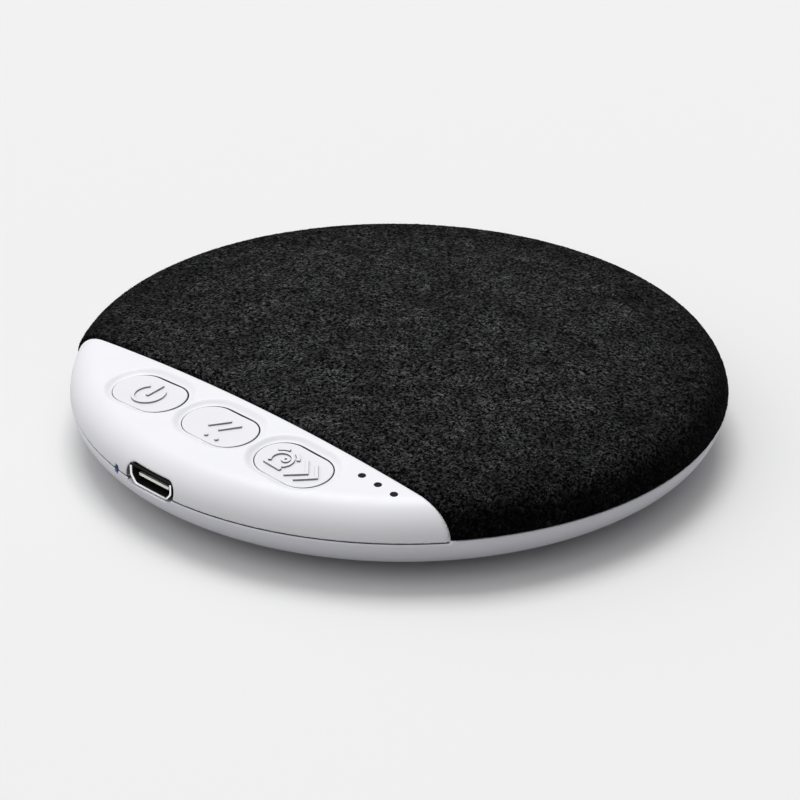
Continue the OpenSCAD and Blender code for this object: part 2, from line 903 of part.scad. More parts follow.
// A pouch cell with soft long edges
module battery_cell() {
    edge_r = 1.2;
    color("silver") translate([0, battery_y, battery_z]) rotate([90, 0, 90])
        linear_extrude(battery_l, center = true) {
        translate([-battery_w / 2 + edge_r, 0]) square([battery_w - 2 * edge_r, battery_t]);
        translate([-battery_w / 2, edge_r]) square([battery_w, battery_t - 2 * edge_r]);
        for (s = [-1, 1], z = [edge_r, battery_t - edge_r])
            translate([s * (battery_w / 2 - edge_r), z]) circle(r = edge_r, $fn = 32);
    }
}

// Battery leads leave the cell's left end and turn forward to their socket, the front one inside
function battery_route_front() = let (
    side = -battery_l / 2 - contact,
    y = battery_front + 1.6,
    z = battery_z + battery_t * 0.6,
    end = lead_end(battery_socket_x + lead_pitch / 2)
) [
    [side, y, z], [side - 0.6, y, z], [side - 1.1, y - 0.2, z + 0.5], [side - 1, y - 0.5, end.z - 0.4],
    [side - 0.2, y - 0.8, end.z], end + [-0.4, 1.6, 0], end + [0, 0.9, 0], end
];

function battery_route_back() = let (
    side = -battery_l / 2 - contact,
    y = battery_front + 3.2,
    z = battery_z + battery_t * 0.6,
    end = lead_end(battery_socket_x - lead_pitch / 2)
) [
    [side, y, z], [side - 1.4, y, z], [side - 2.2, y - 0.5, z + 0.3], [side - 2.2, y - 1.8, end.z - 0.3],
    [side - 1.6, end.y + 1, end.z], end + [-0.6, 0.7, 0], end + [0, 0.4, 0], end
];

module battery_lead_red() { color("red") lead(battery_route_front()); }
module battery_lead_black() { color("black") lead(battery_route_back()); }

// Speaker leads run from the driver's terminals over the cell to their socket
function speaker_route(k) = let (
    x = terminal_l / 4 + (k - 0.5) * lead_pitch,
    y = terminal_y - terminal_w / 2 - contact,
    z = frame_under - lead_r - 0.05,
    over = battery_top + lead_d + 0.5,
    end = lead_end(speaker_socket_x + (k - 0.5) * lead_pitch),
    clear_y = y - 1.6,
    front_y = battery_front + 0.6
) [
    [x, y, z], [x, y - 0.6, z], [x + 0.3, clear_y, over], [x + 1.2, (clear_y + front_y) / 2, over + 0.1],
    [end.x - 0.3, front_y, over], end + [0, 0.6, 0], end
];

// Where a lead meets its socket
function lead_end(x) = [x, socket_y + socket_w / 2 + contact, board_top + socket_h / 2];

module speaker_lead_red() { color("red") lead(speaker_route(0)); }
module speaker_lead_black() { color("black") lead(speaker_route(1)); }

module driver_gasket() {
    color("black") at_driver(frame_top) difference() {
        tube(driver_r - seat_w, driver_r, gasket_t);
        for (a = [45 : 90 : 315]) rotate(a) translate([driver_screw_r, 0, -slop])
            cylinder(d = driver_screw_d + screw_play, h = reach, $fn = 24);
    }
}

// Pressed frame: rim, sloping wall with four windows, and the ring that sits on the yoke
module driver_frame() {
    color("gray") difference() {
        at_driver() {
            rotate_extrude($fn = 96) polygon([
                [basket_in_r, frame_top], [driver_r, frame_top], [driver_r, frame_under],
                [basket_in_r + frame_t, frame_under], [yoke_out_r + frame_t, yoke_top],
                [yoke_in_r, yoke_top], [yoke_in_r, yoke_top + frame_t],
                [yoke_out_r, yoke_top + frame_t], [basket_in_r, frame_under]
            ]);
        }
        at_driver((yoke_top + frame_under) / 2) for (a = [0 : 90 : 270]) rotate(a)
            translate([yoke_out_r, -3.5, -0.7]) cube([basket_in_r - yoke_out_r + 2, 7, 1.3]);
        at_driver_screws() cylinder(d = driver_screw_d + screw_play, h = reach, $fn = 24);
    }
}

module driver_screws() {
    color("silver") at_driver_screws(frame_under)
        screw(driver_screw_d - 4 * thread_fit, driver_screw_head_d, driver_screw_head_h, driver_screw_l);
}

module driver_yoke() {
    color("lightgray") at_driver(motor_z) difference() {
        cylinder(r = yoke_out_r, h = yoke_top - motor_z);
        translate([0, 0, yoke_t]) cylinder(r = yoke_in_r, h = reach);
    }
}

module driver_magnet() {
    color("silver") at_driver(magnet_z) cylinder(r = magnet_r, h = magnet_t);
}

module driver_top_plate() {
    color("gray") at_driver(top_plate_z) cylinder(r = top_plate_r, h = top_plate_t);
}

module driver_terminals() {
    color("sienna") translate([-terminal_l / 2, terminal_y - terminal_w / 2, frame_under - terminal_t])
        cube([terminal_l, terminal_w, terminal_t]);
}

// Half roll between the frame and the cone's edge
module driver_surround() {
    roll_r = roll_w / 2;
    color([0.1, 0.1, 0.1]) at_driver(frame_top) rotate_extrude($fn = 96) {
        translate([basket_in_r - roll_r, 0]) difference() {
            circle(r = roll_r, $fn = 48);
            circle(r = roll_r - roll_t, $fn = 48);
            translate([-roll_w, -roll_w]) square([2 * roll_w, roll_w]);
        }
        translate([basket_in_r - roll_t, 0]) square([seat_w * 0.25 + roll_t, roll_t]);
    }
}

module driver_cone() {
    color([0.2, 0.2, 0.2]) at_driver() rotate_extrude($fn = 96) polygon([
        [coil_in_r, neck_z], [coil_out_r, neck_z],
        [cone_r - cone_lip, cone_top - cone_t], [cone_r, cone_top - cone_t],
        [cone_r, cone_top], [cone_r - cone_lip, cone_top],
        [coil_out_r, neck_z + cone_t], [coil_in_r, neck_z + cone_t]
    ]);
}

module dust_cap() {
    cap_r = (pow(coil_out_r, 2) + pow(cap_rise, 2)) / (2 * cap_rise);
    centre = [0, cap_rise - cap_r];
    edge = acos(coil_out_r / cap_r);
    color([0.15, 0.15, 0.15]) at_driver(neck_z + cone_t) rotate_extrude($fn = 96) polygon(concat(
        arc_points(centre, cap_r, edge, 90, dome_steps),
        arc_points(centre, cap_r - cap_t, 90, edge_in(cap_r), dome_steps)
    ));
}

// Where the cap's inner line comes down to the cone
function edge_in(cap_r) = asin((cap_r - cap_rise) / (cap_r - cap_t));

module voice_coil() {
    color("orange") at_driver(coil_z) tube(coil_in_r, coil_out_r, neck_z - coil_z);
}

bottom_shell();
control_panel();
grille_plate();
fabric_cover();
rubber_feet();
case_screws();
main_board();
board_screws();
usb_shell();
usb_tongue();
usb_contacts();
switch_bodies();
power_plunger();
noise_plunger();
skip_plunger();
power_button();
noise_button();
skip_button();
indicator_leds();
indicator_pipes();
charge_led();
charge_pipe();
sound_chip();
amplifier_chip();
inductor();
capacitors();
battery_socket();
speaker_socket();
battery_pad();
battery_cell();
battery_lead_red();
battery_lead_black();
speaker_lead_red();
speaker_lead_black();
driver_gasket();
driver_frame();
driver_screws();
driver_yoke();
driver_magnet();
driver_top_plate();
driver_terminals();
driver_surround();
driver_cone();
dust_cap();
voice_coil();
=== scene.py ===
"""Pillow speaker: a flat round sound unit with a felt top, a white key panel and a charging socket.

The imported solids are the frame. The visible ones are replaced by finer pieces modelled here in
millimetres and settled in metres, and the inner ones keep their meshes and get finishes.
"""

from __future__ import annotations

import logging
import math
from contextlib import contextmanager
from dataclasses import dataclass, replace
from enum import Enum
from typing import Callable, Iterator, Sequence

import bmesh
import bpy
import numpy as np
from mathutils import Matrix, Vector, geometry, noise

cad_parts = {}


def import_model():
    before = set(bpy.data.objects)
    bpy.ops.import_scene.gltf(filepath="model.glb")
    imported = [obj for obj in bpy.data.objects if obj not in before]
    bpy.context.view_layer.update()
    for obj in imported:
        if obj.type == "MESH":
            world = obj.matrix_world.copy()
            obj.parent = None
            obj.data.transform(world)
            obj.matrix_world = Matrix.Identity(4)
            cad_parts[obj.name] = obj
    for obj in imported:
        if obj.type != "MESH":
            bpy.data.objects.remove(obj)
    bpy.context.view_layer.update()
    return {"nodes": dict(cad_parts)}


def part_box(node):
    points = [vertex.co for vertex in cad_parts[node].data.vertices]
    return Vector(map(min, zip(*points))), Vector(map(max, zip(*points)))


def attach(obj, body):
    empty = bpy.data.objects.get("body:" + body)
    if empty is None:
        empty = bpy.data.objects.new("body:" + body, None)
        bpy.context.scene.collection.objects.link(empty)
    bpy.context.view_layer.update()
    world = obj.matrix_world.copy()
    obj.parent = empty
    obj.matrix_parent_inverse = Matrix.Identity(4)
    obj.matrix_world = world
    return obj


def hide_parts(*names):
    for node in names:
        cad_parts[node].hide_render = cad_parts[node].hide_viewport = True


LOG = logging.getLogger("pillow_speaker")
MM = 0.001
QUARTER = math.radians(90)
Colour = tuple[float, float, float]
Spot = tuple[float, float]
PlaceTest = Callable[[Vector], bool]
PairTest = Callable[[Vector, Vector], bool]

# Points closer than this are one
MERGE = 1e-4
# Slack of a cut across a mesh
CUT_SLACK = 1e-5
# Points this close to a plane are on it
NEAR = 0.01
# What no divisor is smaller than
TINY = 1e-9
# Share of a normal along an axis from which a face looks that way
FACING = 0.9
# Share of a normal along Z up to which a face is a wall
STEEP = 0.35
# The openings in the rim lie in front of this Y, and elsewhere they are this far away
FRONT_Y = -36.0
OFF_FRONT = 99.0
# Depth of a cut through the rim
RIM_CUT = 12.0
# Half side of the square that a flat layout fits in
LAYOUT_REACH = 48.0
# Half length of a row of points along a straight edge, and how many it has
ROW_HALF = 36.0
ROW_POINTS = 200
# Least distance of a grid's points from rows and outlines, as a share of its pitch
ROW_ROOM = 0.6


class Mode(Enum):
    """What is selected in edit mode."""

    VERTS = "VERT"
    EDGES = "EDGE"
    FACES = "FACE"


class Key(Enum):
    """The three keys, with the body each moves with and its place in the row."""

    POWER = ("power_button", -1)
    NOISE = ("noise_button", 0)
    SKIP = ("skip_button", 1)

    @property
    def node(self) -> str:
        """Name of the key's node, which is also its body."""
        return self.value[0]

    @property
    def step(self) -> int:
        """The key's place in the row, counted from the middle one."""
        return self.value[1]


class Rim(Enum):
    """The edges that the panel's outline runs along."""

    LOWER = "lower edge"
    NOTCH = "opening in the lower edge"
    CHORD = "straight edge"


# Bench work


def only(obj: bpy.types.Object) -> None:
    """Select one object and nothing else, and make it active.

    Args:
        obj: The object.
    """
    bpy.ops.object.select_all(action="DESELECT")
    obj.select_set(True)
    bpy.context.view_layer.objects.active = obj


@contextmanager
def editing(obj: bpy.types.Object, mode: Mode = Mode.VERTS, every: bool = False) -> Iterator[None]:
    """Edit one object.

    Args:
        obj: The piece to edit.
        mode: What is selected.
        every: Whether all of it is selected at the start, or nothing.

    Returns:
        The time in edit mode, for a with statement.
    """
    only(obj)
    bpy.ops.object.mode_set(mode="EDIT")
    select(mode)
    bpy.ops.mesh.select_all(action="SELECT" if every else "DESELECT")
    yield
    bpy.ops.object.mode_set(mode="OBJECT")


def select(mode: Mode) -> None:
    """Choose what is selected, in edit mode."""
    bpy.ops.mesh.select_mode(type=mode.value)


def pick_verts(obj: bpy.types.Object, test: PlaceTest) -> None:
    """Select vertices, in edit mode.

    Args:
        obj: The piece being edited.
        test: Whether a vertex is selected, from its place.
    """
    mesh = bmesh.from_edit_mesh(obj.data)
    for vert in mesh.verts:
        vert.select = bool(test(vert.co))
    mesh.select_flush_mode()
    bmesh.update_edit_mesh(obj.data)


def pick_edges(obj: bpy.types.Object, test: PairTest) -> None:
    """Select edges, in edge mode.

    Args:
        obj: The piece being edited.
        test: Whether an edge is selected, from the places of its two ends.
    """
    mesh = bmesh.from_edit_mesh(obj.data)
    for edge in mesh.edges:
        edge.select_set(bool(test(edge.verts[0].co, edge.verts[1].co)))
    bmesh.update_edit_mesh(obj.data)


def pick_faces(obj: bpy.types.Object, test: PairTest) -> None:
    """Select faces, in face mode.

    Args:
        obj: The piece being edited.
        test: Whether a face is selected, from its middle and its normal.
    """
    mesh = bmesh.from_edit_mesh(obj.data)
    mesh.normal_update()
    for face in mesh.faces:
        face.select_set(bool(test(face.calc_center_median(), face.normal)))
    bmesh.update_edit_mesh(obj.data)


def started(add: Callable[..., object], **words: object) -> bpy.types.Object:
    """Add a primitive with its place in its mesh.

    Args:
        add: The operator that adds it.
        words: What the operator is told.

    Returns:
        The new object, at the origin.
    """
    bpy.ops.object.select_all(action="DESELECT")
    add(**words)
    bpy.ops.object.transform_apply(location=True, rotation=True, scale=True)
    return bpy.context.view_layer.objects.active


def from_points(points: np.ndarray, faces: Sequence[Sequence[int]]) -> bpy.types.Object:
    """Make a mesh from points and faces.

    Args:
        points: Places of its points, n by 3.
        faces: Numbers of each face's points.

    Returns:
        The new object.
    """
    mesh = bpy.data.meshes.new("skin")
    mesh.from_pydata(np.asarray(points, float).tolist(), [], [list(map(int, f)) for f in faces])
    mesh.validate()
    obj = bpy.data.objects.new("skin", mesh)
    bpy.context.scene.collection.objects.link(obj)
    return obj


def placed(obj: bpy.types.Object, *moves: Matrix) -> bpy.types.Object:
    """Turn and shift a piece's mesh.

    Args:
        obj: The piece.
        moves: What is done to it, in order.

    Returns:
        The piece.
    """
    for move in moves:
        obj.data.transform(move)
    return obj


def joined(parts: Sequence[bpy.types.Object]) -> bpy.types.Object:
    """Join several objects.

    Args:
        parts: The objects, which end up in the first of them.

    Returns:
        The first object.
    """
    only(parts[0])
    for part in parts[1:]:
        part.select_set(True)
    bpy.ops.object.join()
    return parts[0]


def spread(obj: bpy.types.Object, places: Sequence[Vector]) -> bpy.types.Object:
    """Copy a piece to several places, each copy with a mesh of its own, and join the copies.

    Args:
        obj: The piece, which is used up.
        places: How far each copy is moved.

    Returns:
        The copies as one object.
    """
    copies = []
    for place in places:
        twin = obj.copy()
        twin.data = obj.data.copy()
        bpy.context.scene.collection.objects.link(twin)
        copies.append(placed(twin, Matrix.Translation(place)))
    bpy.data.objects.remove(obj)
    return joined(copies)


def with_modifier(obj: bpy.types.Object, kind: str, **words: object) -> None:
    """Add a modifier and apply it.

    Args:
        obj: The piece.
        kind: The modifier's type.
        words: Its settings.
    """
    modifier = obj.modifiers.new(kind.lower(), kind)
    for name, value in words.items():
        setattr(modifier, name, value)
    only(obj)
    bpy.ops.object.modifier_apply(modifier=modifier.name)


def soften(obj: bpy.types.Object, width: float, segments: int, degrees: float = 50) -> None:
    """Round the edges of a piece that are sharper than an angle."""
    words = {"width": width, "segments": segments, "limit_method": "ANGLE"}
    with_modifier(obj, "BEVEL", angle_limit=math.radians(degrees), **words)


def carve(obj: bpy.types.Object, cutter: bpy.types.Object) -> None:
    """Cut a cutter out of a piece and use it up."""
    with_modifier(obj, "BOOLEAN", object=cutter, operation="DIFFERENCE", solver="EXACT")
    bpy.data.meshes.remove(cutter.data)


def face_outward(obj: bpy.types.Object, merge: float | None = MERGE) -> None:
    """Turn all faces outward.

    Args:
        obj: The piece.
        merge: Points closer than this are merged first, if given.
    """
    with editing(obj, every=True):
        if merge is not None:
            bpy.ops.mesh.remove_doubles(threshold=merge)
        bpy.ops.mesh.normals_make_consistent(inside=False)


def spun(profile: Sequence[Spot], steps: int) -> bpy.types.Object:
    """Spin a half section that starts and ends on the axis about Z.

    Args:
        profile: Radius and height of each point of the section.
        steps: Segments round the axis.

    Returns:
        The closed shape, with its faces outward.
    """
    obj = started(bpy.ops.mesh.primitive_plane_add, size=1)
    with editing(obj, every=True):
        bpy.ops.mesh.merge(type="CENTER")
        bpy.ops.transform.translate(value=(profile[0][0], 0, profile[0][1]))
        for (r0, z0), (r1, z1) in zip(profile, profile[1:]):
            step = {"value": (r1 - r0, 0, z1 - z0)}
            bpy.ops.mesh.extrude_vertices_move(TRANSFORM_OT_translate=step)
        bpy.ops.mesh.select_all(action="SELECT")
        bpy.ops.mesh.spin(steps=steps, angle=math.tau, center=(0, 0, 0), axis=(0, 0, 1))
    face_outward(obj)
    return obj


def slot_plate(length: float, width: float, verts: int = 64) -> bpy.types.Object:
    """Make a flat face with straight sides and round ends, long along X.

    Args:
        length: From end to end.
        width: From side to side.
        verts: Points round it.

    Returns:
        The flat face.
    """
    add = bpy.ops.mesh.primitive_circle_add
    obj = started(add, vertices=verts, radius=width / 2, fill_type="NGON")
    half = (length - width) / 2
    with editing(obj):
        for side in (-1, 1):
            pick_verts(obj, lambda p: p.x * side > MERGE)
            bpy.ops.transform.translate(value=(side * half, 0, 0))
    return obj


def slot_block(length: float, width: float, depth: float) -> bpy.types.Object:
    """Make a block with the outline of slot_plate.

    Args:
        length: From end to end.
        width: From side to side.
        depth: From z = 0 down.

    Returns:
        The block.
    """
    obj = slot_plate(length, width)
    with_modifier(obj, "SOLIDIFY", thickness=depth, offset=-1)
    face_outward(obj)
    return obj


def settle(obj: bpy.types.Object, name: str, angle: float = 35) -> bpy.types.Object:
    """Name a finished piece, take it from millimetres to metres and shade it.

    Args:
        obj: The piece, with its place in its mesh.
        name: Its name.
        angle: Edges sharper than this many degrees stay sharp.

    Returns:
        The piece.
    """
    obj.name = obj.data.name = name
    only(obj)
    obj.scale = (MM, MM, MM)
    bpy.ops.object.transform_apply(location=True, rotation=True, scale=True)
    bpy.ops.object.shade_smooth_by_angle(angle=math.radians(angle))
    return obj


def box_mm(node: str) -> tuple[Vector, Vector]:
    """Lowest and highest corner of a node, in millimetres."""
    low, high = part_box(node)
    return low / MM, high / MM


# Lines and skins


@dataclass(frozen=True)
class RoofLine:
    """Outer line of the top: a roll that leaves the rim upright, then a dome tangent to it.

    A point of the top is also known by its flat place: its distance along the line from the
    crown, turned about the axis.
    """

    body_r: float
    seam_z: float
    cover_h: float
    corner_r: float = 4.8

    @property
    def roll_r(self) -> float:
        """Radius of the roll's centre from the axis."""
        return self.body_r - self.corner_r

    @property
    def dome_r(self) -> float:
        """Radius of the dome."""
        h, c = self.cover_h, self.corner_r
        return (self.roll_r**2 + h**2 - c**2) / (2 * (h - c))

    @property
    def turn(self) -> float:
        """Angle above the horizon at which the roll meets the dome."""
        return math.atan2(self.dome_r - self.cover_h, self.roll_r)

    @property
    def dome_l(self) -> float:
        """Length along the line from the crown to the roll."""
        return self.dome_r * (math.pi / 2 - self.turn)

    def angle(self, s: np.ndarray) -> np.ndarray:
        """Angle of the outward normal above the horizon, at distances from the crown."""
        dome = math.pi / 2 - s / self.dome_r
        return np.where(s < self.dome_l, dome, self.turn - (s - self.dome_l) / self.corner_r)

    def place(self, flat: np.ndarray, grow: np.ndarray | float = 0.0) -> np.ndarray:
        """Points in space.

        Args:
            flat: Flat places, n by 2.
            grow: How far outside the line each point lies.

        Returns:
            Places in millimetres, n by 3.
        """
        s = np.hypot(flat[:, 0], flat[:, 1])
        a = self.angle(s)
        dome = s < self.dome_l
        r = np.where(dome, (self.dome_r + grow) * np.cos(a), 0)
        r = np.where(dome, r, self.roll_r + (self.corner_r + grow) * np.cos(a))
        low = self.seam_z + self.cover_h - self.dome_r
        z = np.where(dome, low + (self.dome_r + grow) * np.sin(a), 0)
        z = np.where(dome, z, self.seam_z + (self.corner_r + grow) * np.sin(a))
        way = flat / np.maximum(s, TINY)[:, None]
        return np.column_stack([way * r[:, None], z])

    def flat_at(self, plan: np.ndarray) -> np.ndarray:
        """Flat places of points seen from above.

        Args:
            plan: X and Y of the points, n by 2.

        Returns:
            Their flat places, n by 2.
        """
        r = np.minimum(np.hypot(plan[:, 0], plan[:, 1]), self.body_r)
        knee = self.dome_r * math.cos(self.turn)
        dome = self.dome_r * np.arcsin(np.minimum(r / self.dome_r, 1))
        roll = np.arccos(np.clip((r - self.roll_r) / self.corner_r, -1, 1))
        s = np.where(r < knee, dome, self.dome_l + self.corner_r * (self.turn - roll))
        return plan * (s / np.maximum(r, TINY))[:, None]

    def flat_front(self, x: np.ndarray, z: np.ndarray) -> np.ndarray:
        """Flat places of points of the front of the roll, seen along +Y.

        Args:
            x: Their X.
            z: Their heights.

        Returns:
            Their flat places, n by 2.
        """
        a = np.arcsin(np.clip((z - self.seam_z) / self.corner_r, 0, 1))
        r = self.roll_r + self.corner_r * np.cos(a)
        s = self.dome_l + self.corner_r * (self.turn - a)
        return np.column_stack([x, -np.sqrt(r**2 - x**2)]) * (s / r)[:, None]

    def length_to(self, z: float, grow: float = 0.0) -> float:
        """Distance along the line from the crown to a height on the roll."""
        a = math.asin((z - self.seam_z) / (self.corner_r + grow))
        return self.dome_l + self.corner_r * (self.turn - a)


def slot_distance(p: np.ndarray, length: float, width: float) -> np.ndarray:
    """Distance outside a slot outline centred at the origin and long along X."""
    reach = (length - width) / 2
    return np.hypot(np.maximum(np.abs(p[:, 0]) - reach, 0), p[:, 1]) - width / 2


def slot_loop(length: float, width: float, arc: int = 24, side: int = 12) -> np.ndarray:
    """Points round a slot outline centred at the origin and long along X.

    Args:
        length: From end to end.
        width: From side to side.
        arc: Steps round each end.
        side: Steps along each side.

    Returns:
        The points in order, n by 2.
    """
    half, r = (length - width) / 2, width / 2
    turns = np.linspace(-1, 1, arc + 1) * math.pi / 2
    right = [(half + r * math.cos(t), r * math.sin(t)) for t in turns]
    top = [(x, r) for x in np.linspace(half, -half, side + 1)[1:-1]]
    points = right + top
    return np.array(points + [(-x, -y) for x, y in points])


def round_drop(t: np.ndarray, r: float) -> np.ndarray:
    """Drop of an edge of radius r at distances t from it."""
    u = np.clip(1 - t / r, 0, 1)
    return r * (1 - np.sqrt(1 - u * u))


def edge_rows(r: float, steps: int = 5) -> list[float]:
    """Distances from an edge at which a round of radius r needs rows of points."""
    return [r * (1 - math.cos(k * math.pi / 2 / steps)) for k in range(1, steps + 1)]


def hex_grid(pitch: float) -> np.ndarray:
    """Points of a grid of even triangles over the square of a layout.

    Args:
        pitch: Side of a triangle.

    Returns:
        The points, n by 2.
    """
    rows = np.arange(-LAYOUT_REACH, LAYOUT_REACH, pitch * math.sqrt(0.75))
    cols = np.arange(-LAYOUT_REACH, LAYOUT_REACH, pitch)
    return np.array([(x + (k % 2) * pitch / 2, y) for k, y in enumerate(rows) for x in cols])


def in_loop(points: np.ndarray, loop: np.ndarray) -> np.ndarray:
    """Which points are inside a closed loop.

    Args:
        points: The points, n by 2.
        loop: The loop's points in order, m by 2.

    Returns:
        Whether each point is inside.
    """
    inside = np.zeros(len(points), bool)
    for a, b in zip(loop, np.roll(loop, -1, axis=0)):
        if a[1] != b[1]:
            over = (points[:, 1] < a[1]) != (points[:, 1] < b[1])
            at = a[0] + (points[:, 1] - a[1]) * (b[0] - a[0]) / (b[1] - a[1])
            inside ^= over & (points[:, 0] < at)
    return inside


def away_from(points: np.ndarray, others: np.ndarray, gap: float, lot: int = 2000) -> np.ndarray:
    """Which points are away from others.

    Args:
        points: The points, n by 2.
        others: The others, m by 2.
        gap: How far away they have to be.
        lot: How many points are measured at a time.

    Returns:
        Whether each point is at least that far from all the others.
    """
    clear = np.ones(len(points), bool)
    for k in range(0, len(points), lot):
        part = points[k : k + lot]
        square = ((part[:, None] - others[None]) ** 2).sum(2)
        clear[k : k + lot] = square.min(1) > gap * gap
    return clear


def triangles(loops: Sequence[np.ndarray], inner: np.ndarray) -> tuple[np.ndarray, np.ndarray]:
    """Triangles between an outline, its holes and points inside.

    Args:
        loops: The outline, then the holes, in flat places.
        inner: Points inside, in flat places.

    Returns:
        All the points, the loops' first and in order, and the triangles, face up.
    """
    points = np.vstack([*loops, inner])
    edges, start = [], 0
    for loop in loops:
        n = len(loop)
        edges += [(start + k, start + (k + 1) % n) for k in range(n)]
        start += n
    inside_only, slack = 1, 1e-6
    spots = [Vector(p) for p in points.tolist()]
    made = geometry.delaunay_2d_cdt(spots, edges, [], inside_only, slack)
    origin = np.array([ids[0] if ids else -1 for ids in made[3]])
    faces = origin[np.array(made[2])]
    faces = faces[(faces >= 0).all(1)]
    middle = points[faces].mean(1)
    keep = in_loop(middle, loops[0])
    for hole in loops[1:]:
        keep &= ~in_loop(middle, hole)
    faces = faces[keep]
    a, b, c = (points[faces[:, k]] for k in range(3))
    turned = np.cross(b - a, c - a) < 0
    faces[turned] = faces[turned][:, ::-1]
    return points, faces


@dataclass
class Skin:
    """A closed skin on the roof: a fine outer face, a coarse inner one and walls between them."""

    loops: list[np.ndarray]
    fine: np.ndarray
    coarse: np.ndarray

    def build(
        self,
        outer: Callable[[np.ndarray], np.ndarray],
        inner: Callable[[np.ndarray], np.ndarray],
        rims: np.ndarray,
    ) -> bpy.types.Object:
        """Make the skin.

        Args:
            outer: Gives the outer face's places from flat places.
            inner: Gives the inner face's places from flat places.
            rims: Places of the inner face's own points on the loops, in order.

        Returns:
            The closed mesh, in millimetres, with its faces outward.
        """
        top, top_faces = triangles(self.loops, self.fine)
        low, low_faces = triangles(self.loops, self.coarse)
        count, border = len(top), sum(map(len, self.loops))
        places = np.vstack([outer(top), rims, inner(low[border:])])
        walls, start = [], 0
        for loop in self.loops:
            n = len(loop)
            for i in range(n):
                a, b = start + i, start + (i + 1) % n
                walls.append((a, b, count + b, count + a))
            start += n
        faces = [*top_faces, *(low_faces[:, ::-1] + count), *walls]
        obj = from_points(places, faces)
        face_outward(obj, None)
        return obj


# Finishes

# Sockets of a Mix node that mixes colours: its share, its two colours and its result
MIX_SHARE, MIX_A, MIX_B, MIX_RESULT = 0, 6, 7, 2
# Values of a noise between which a mask runs from end to end
NOISE_SPAN = (0.3, 0.7)
SURFACE_OUT = {"Colour": "NodeSocketColor", "Roughness": "NodeSocketFloat", "Height": "NodeSocketFloat"}


class Nodes:
    """A node tree under construction."""

    def __init__(self, tree: bpy.types.NodeTree) -> None:
        """Start on a tree."""
        self.tree = tree

    def put(self, socket: bpy.types.NodeSocket, value: object) -> None:
        """Give an input a value, or link a socket to it.

        Args:
            socket: The input.
            value: The value or the socket.
        """
        if isinstance(value, bpy.types.NodeSocket):
            self.tree.links.new(value, socket)
        else:
            socket.default_value = value

    def add(
        self, kind: str, inputs: dict[str | int, object] | None = None, **words: object
    ) -> bpy.types.Node:
        """Add a node.

        Args:
            kind: Its type, without the ShaderNode in front.
            inputs: Values or sockets for its inputs.
            words: Its settings.

        Returns:
            The node.
        """
        node = self.tree.nodes.new(kind if kind.startswith("NodeGroup") else "ShaderNode" + kind)
        for name, value in words.items():
            setattr(node, name, value)
        for name, value in (inputs or {}).items():
            self.put(node.inputs[name], value)
        return node

    def mix(self, share: object, a: object, b: object) -> bpy.types.NodeSocket:
        """Mix two colours.

        Args:
            share: Share of the second one.
            a: The first colour, or a socket.
            b: The second colour, or a socket.

        Returns:
            The mixed colour.
        """
        node = self.add("Mix", data_type="RGBA")
        self.put(node.inputs[MIX_SHARE], share)
        for place, tone in ((MIX_A, a), (MIX_B, b)):
            self.put(node.inputs[place], (*tone, 1) if isinstance(tone, tuple) else tone)
        return node.outputs[MIX_RESULT]

    def math(self, way: str, a: object, b: object = 0.0) -> bpy.types.NodeSocket:
        """A sum, product or other work on two numbers."""
        return self.add("Math", {0: a, 1: b}, operation=way).outputs[0]

    def ramp(self, value: object, span: Spot, to: Spot = (0.0, 1.0)) -> bpy.types.NodeSocket:
        """Take a number from one range to another, and hold it there.

        Args:
            value: The number.
            span: The range that it comes from.
            to: The range that it goes to.

        Returns:
            The new number.
        """
        words = {"Value": value, "From Min": span[0], "From Max": span[1]}
        words |= {"To Min": to[0], "To Max": to[1]}
        return self.add("MapRange", words).outputs[0]

    def noise(self, at: object, scale: object, detail: float = 2.0) -> bpy.types.NodeSocket:
        """A noise value."""
        return self.add("TexNoise", {"Vector": at, "Scale": scale, "Detail": detail}).outputs[0]

    def part(self, at: object, axis: str) -> bpy.types.NodeSocket:
        """A vector's part along an axis."""
        return self.add("SeparateXYZ", {0: at}).outputs[axis]


def group(
    name: str, inputs: dict[str, object], outputs: dict[str, str]
) -> tuple[Nodes, bpy.types.Node, bpy.types.Node]:
    """Start a shader node group.

    Args:
        name: Its name.
        inputs: Names of its inputs, with a number or a colour as default.
        outputs: Names of its outputs, with their socket types.

    Returns:
        The tree under construction, its input node and its output node.
    """
    tree = bpy.data.node_groups.new(name, "ShaderNodeTree")
    for label, value in inputs.items():
        kind = "NodeSocketColor" if isinstance(value, tuple) else "NodeSocketFloat"
        socket = tree.interface.new_socket(name=label, in_out="INPUT", socket_type=kind)
        socket.default_value = (*value, 1) if isinstance(value, tuple) else value
    for label, kind in outputs.items():
        tree.interface.new_socket(name=label, in_out="OUTPUT", socket_type=kind)
    nodes = Nodes(tree)
    return nodes, nodes.add("NodeGroupInput"), nodes.add("NodeGroupOutput")


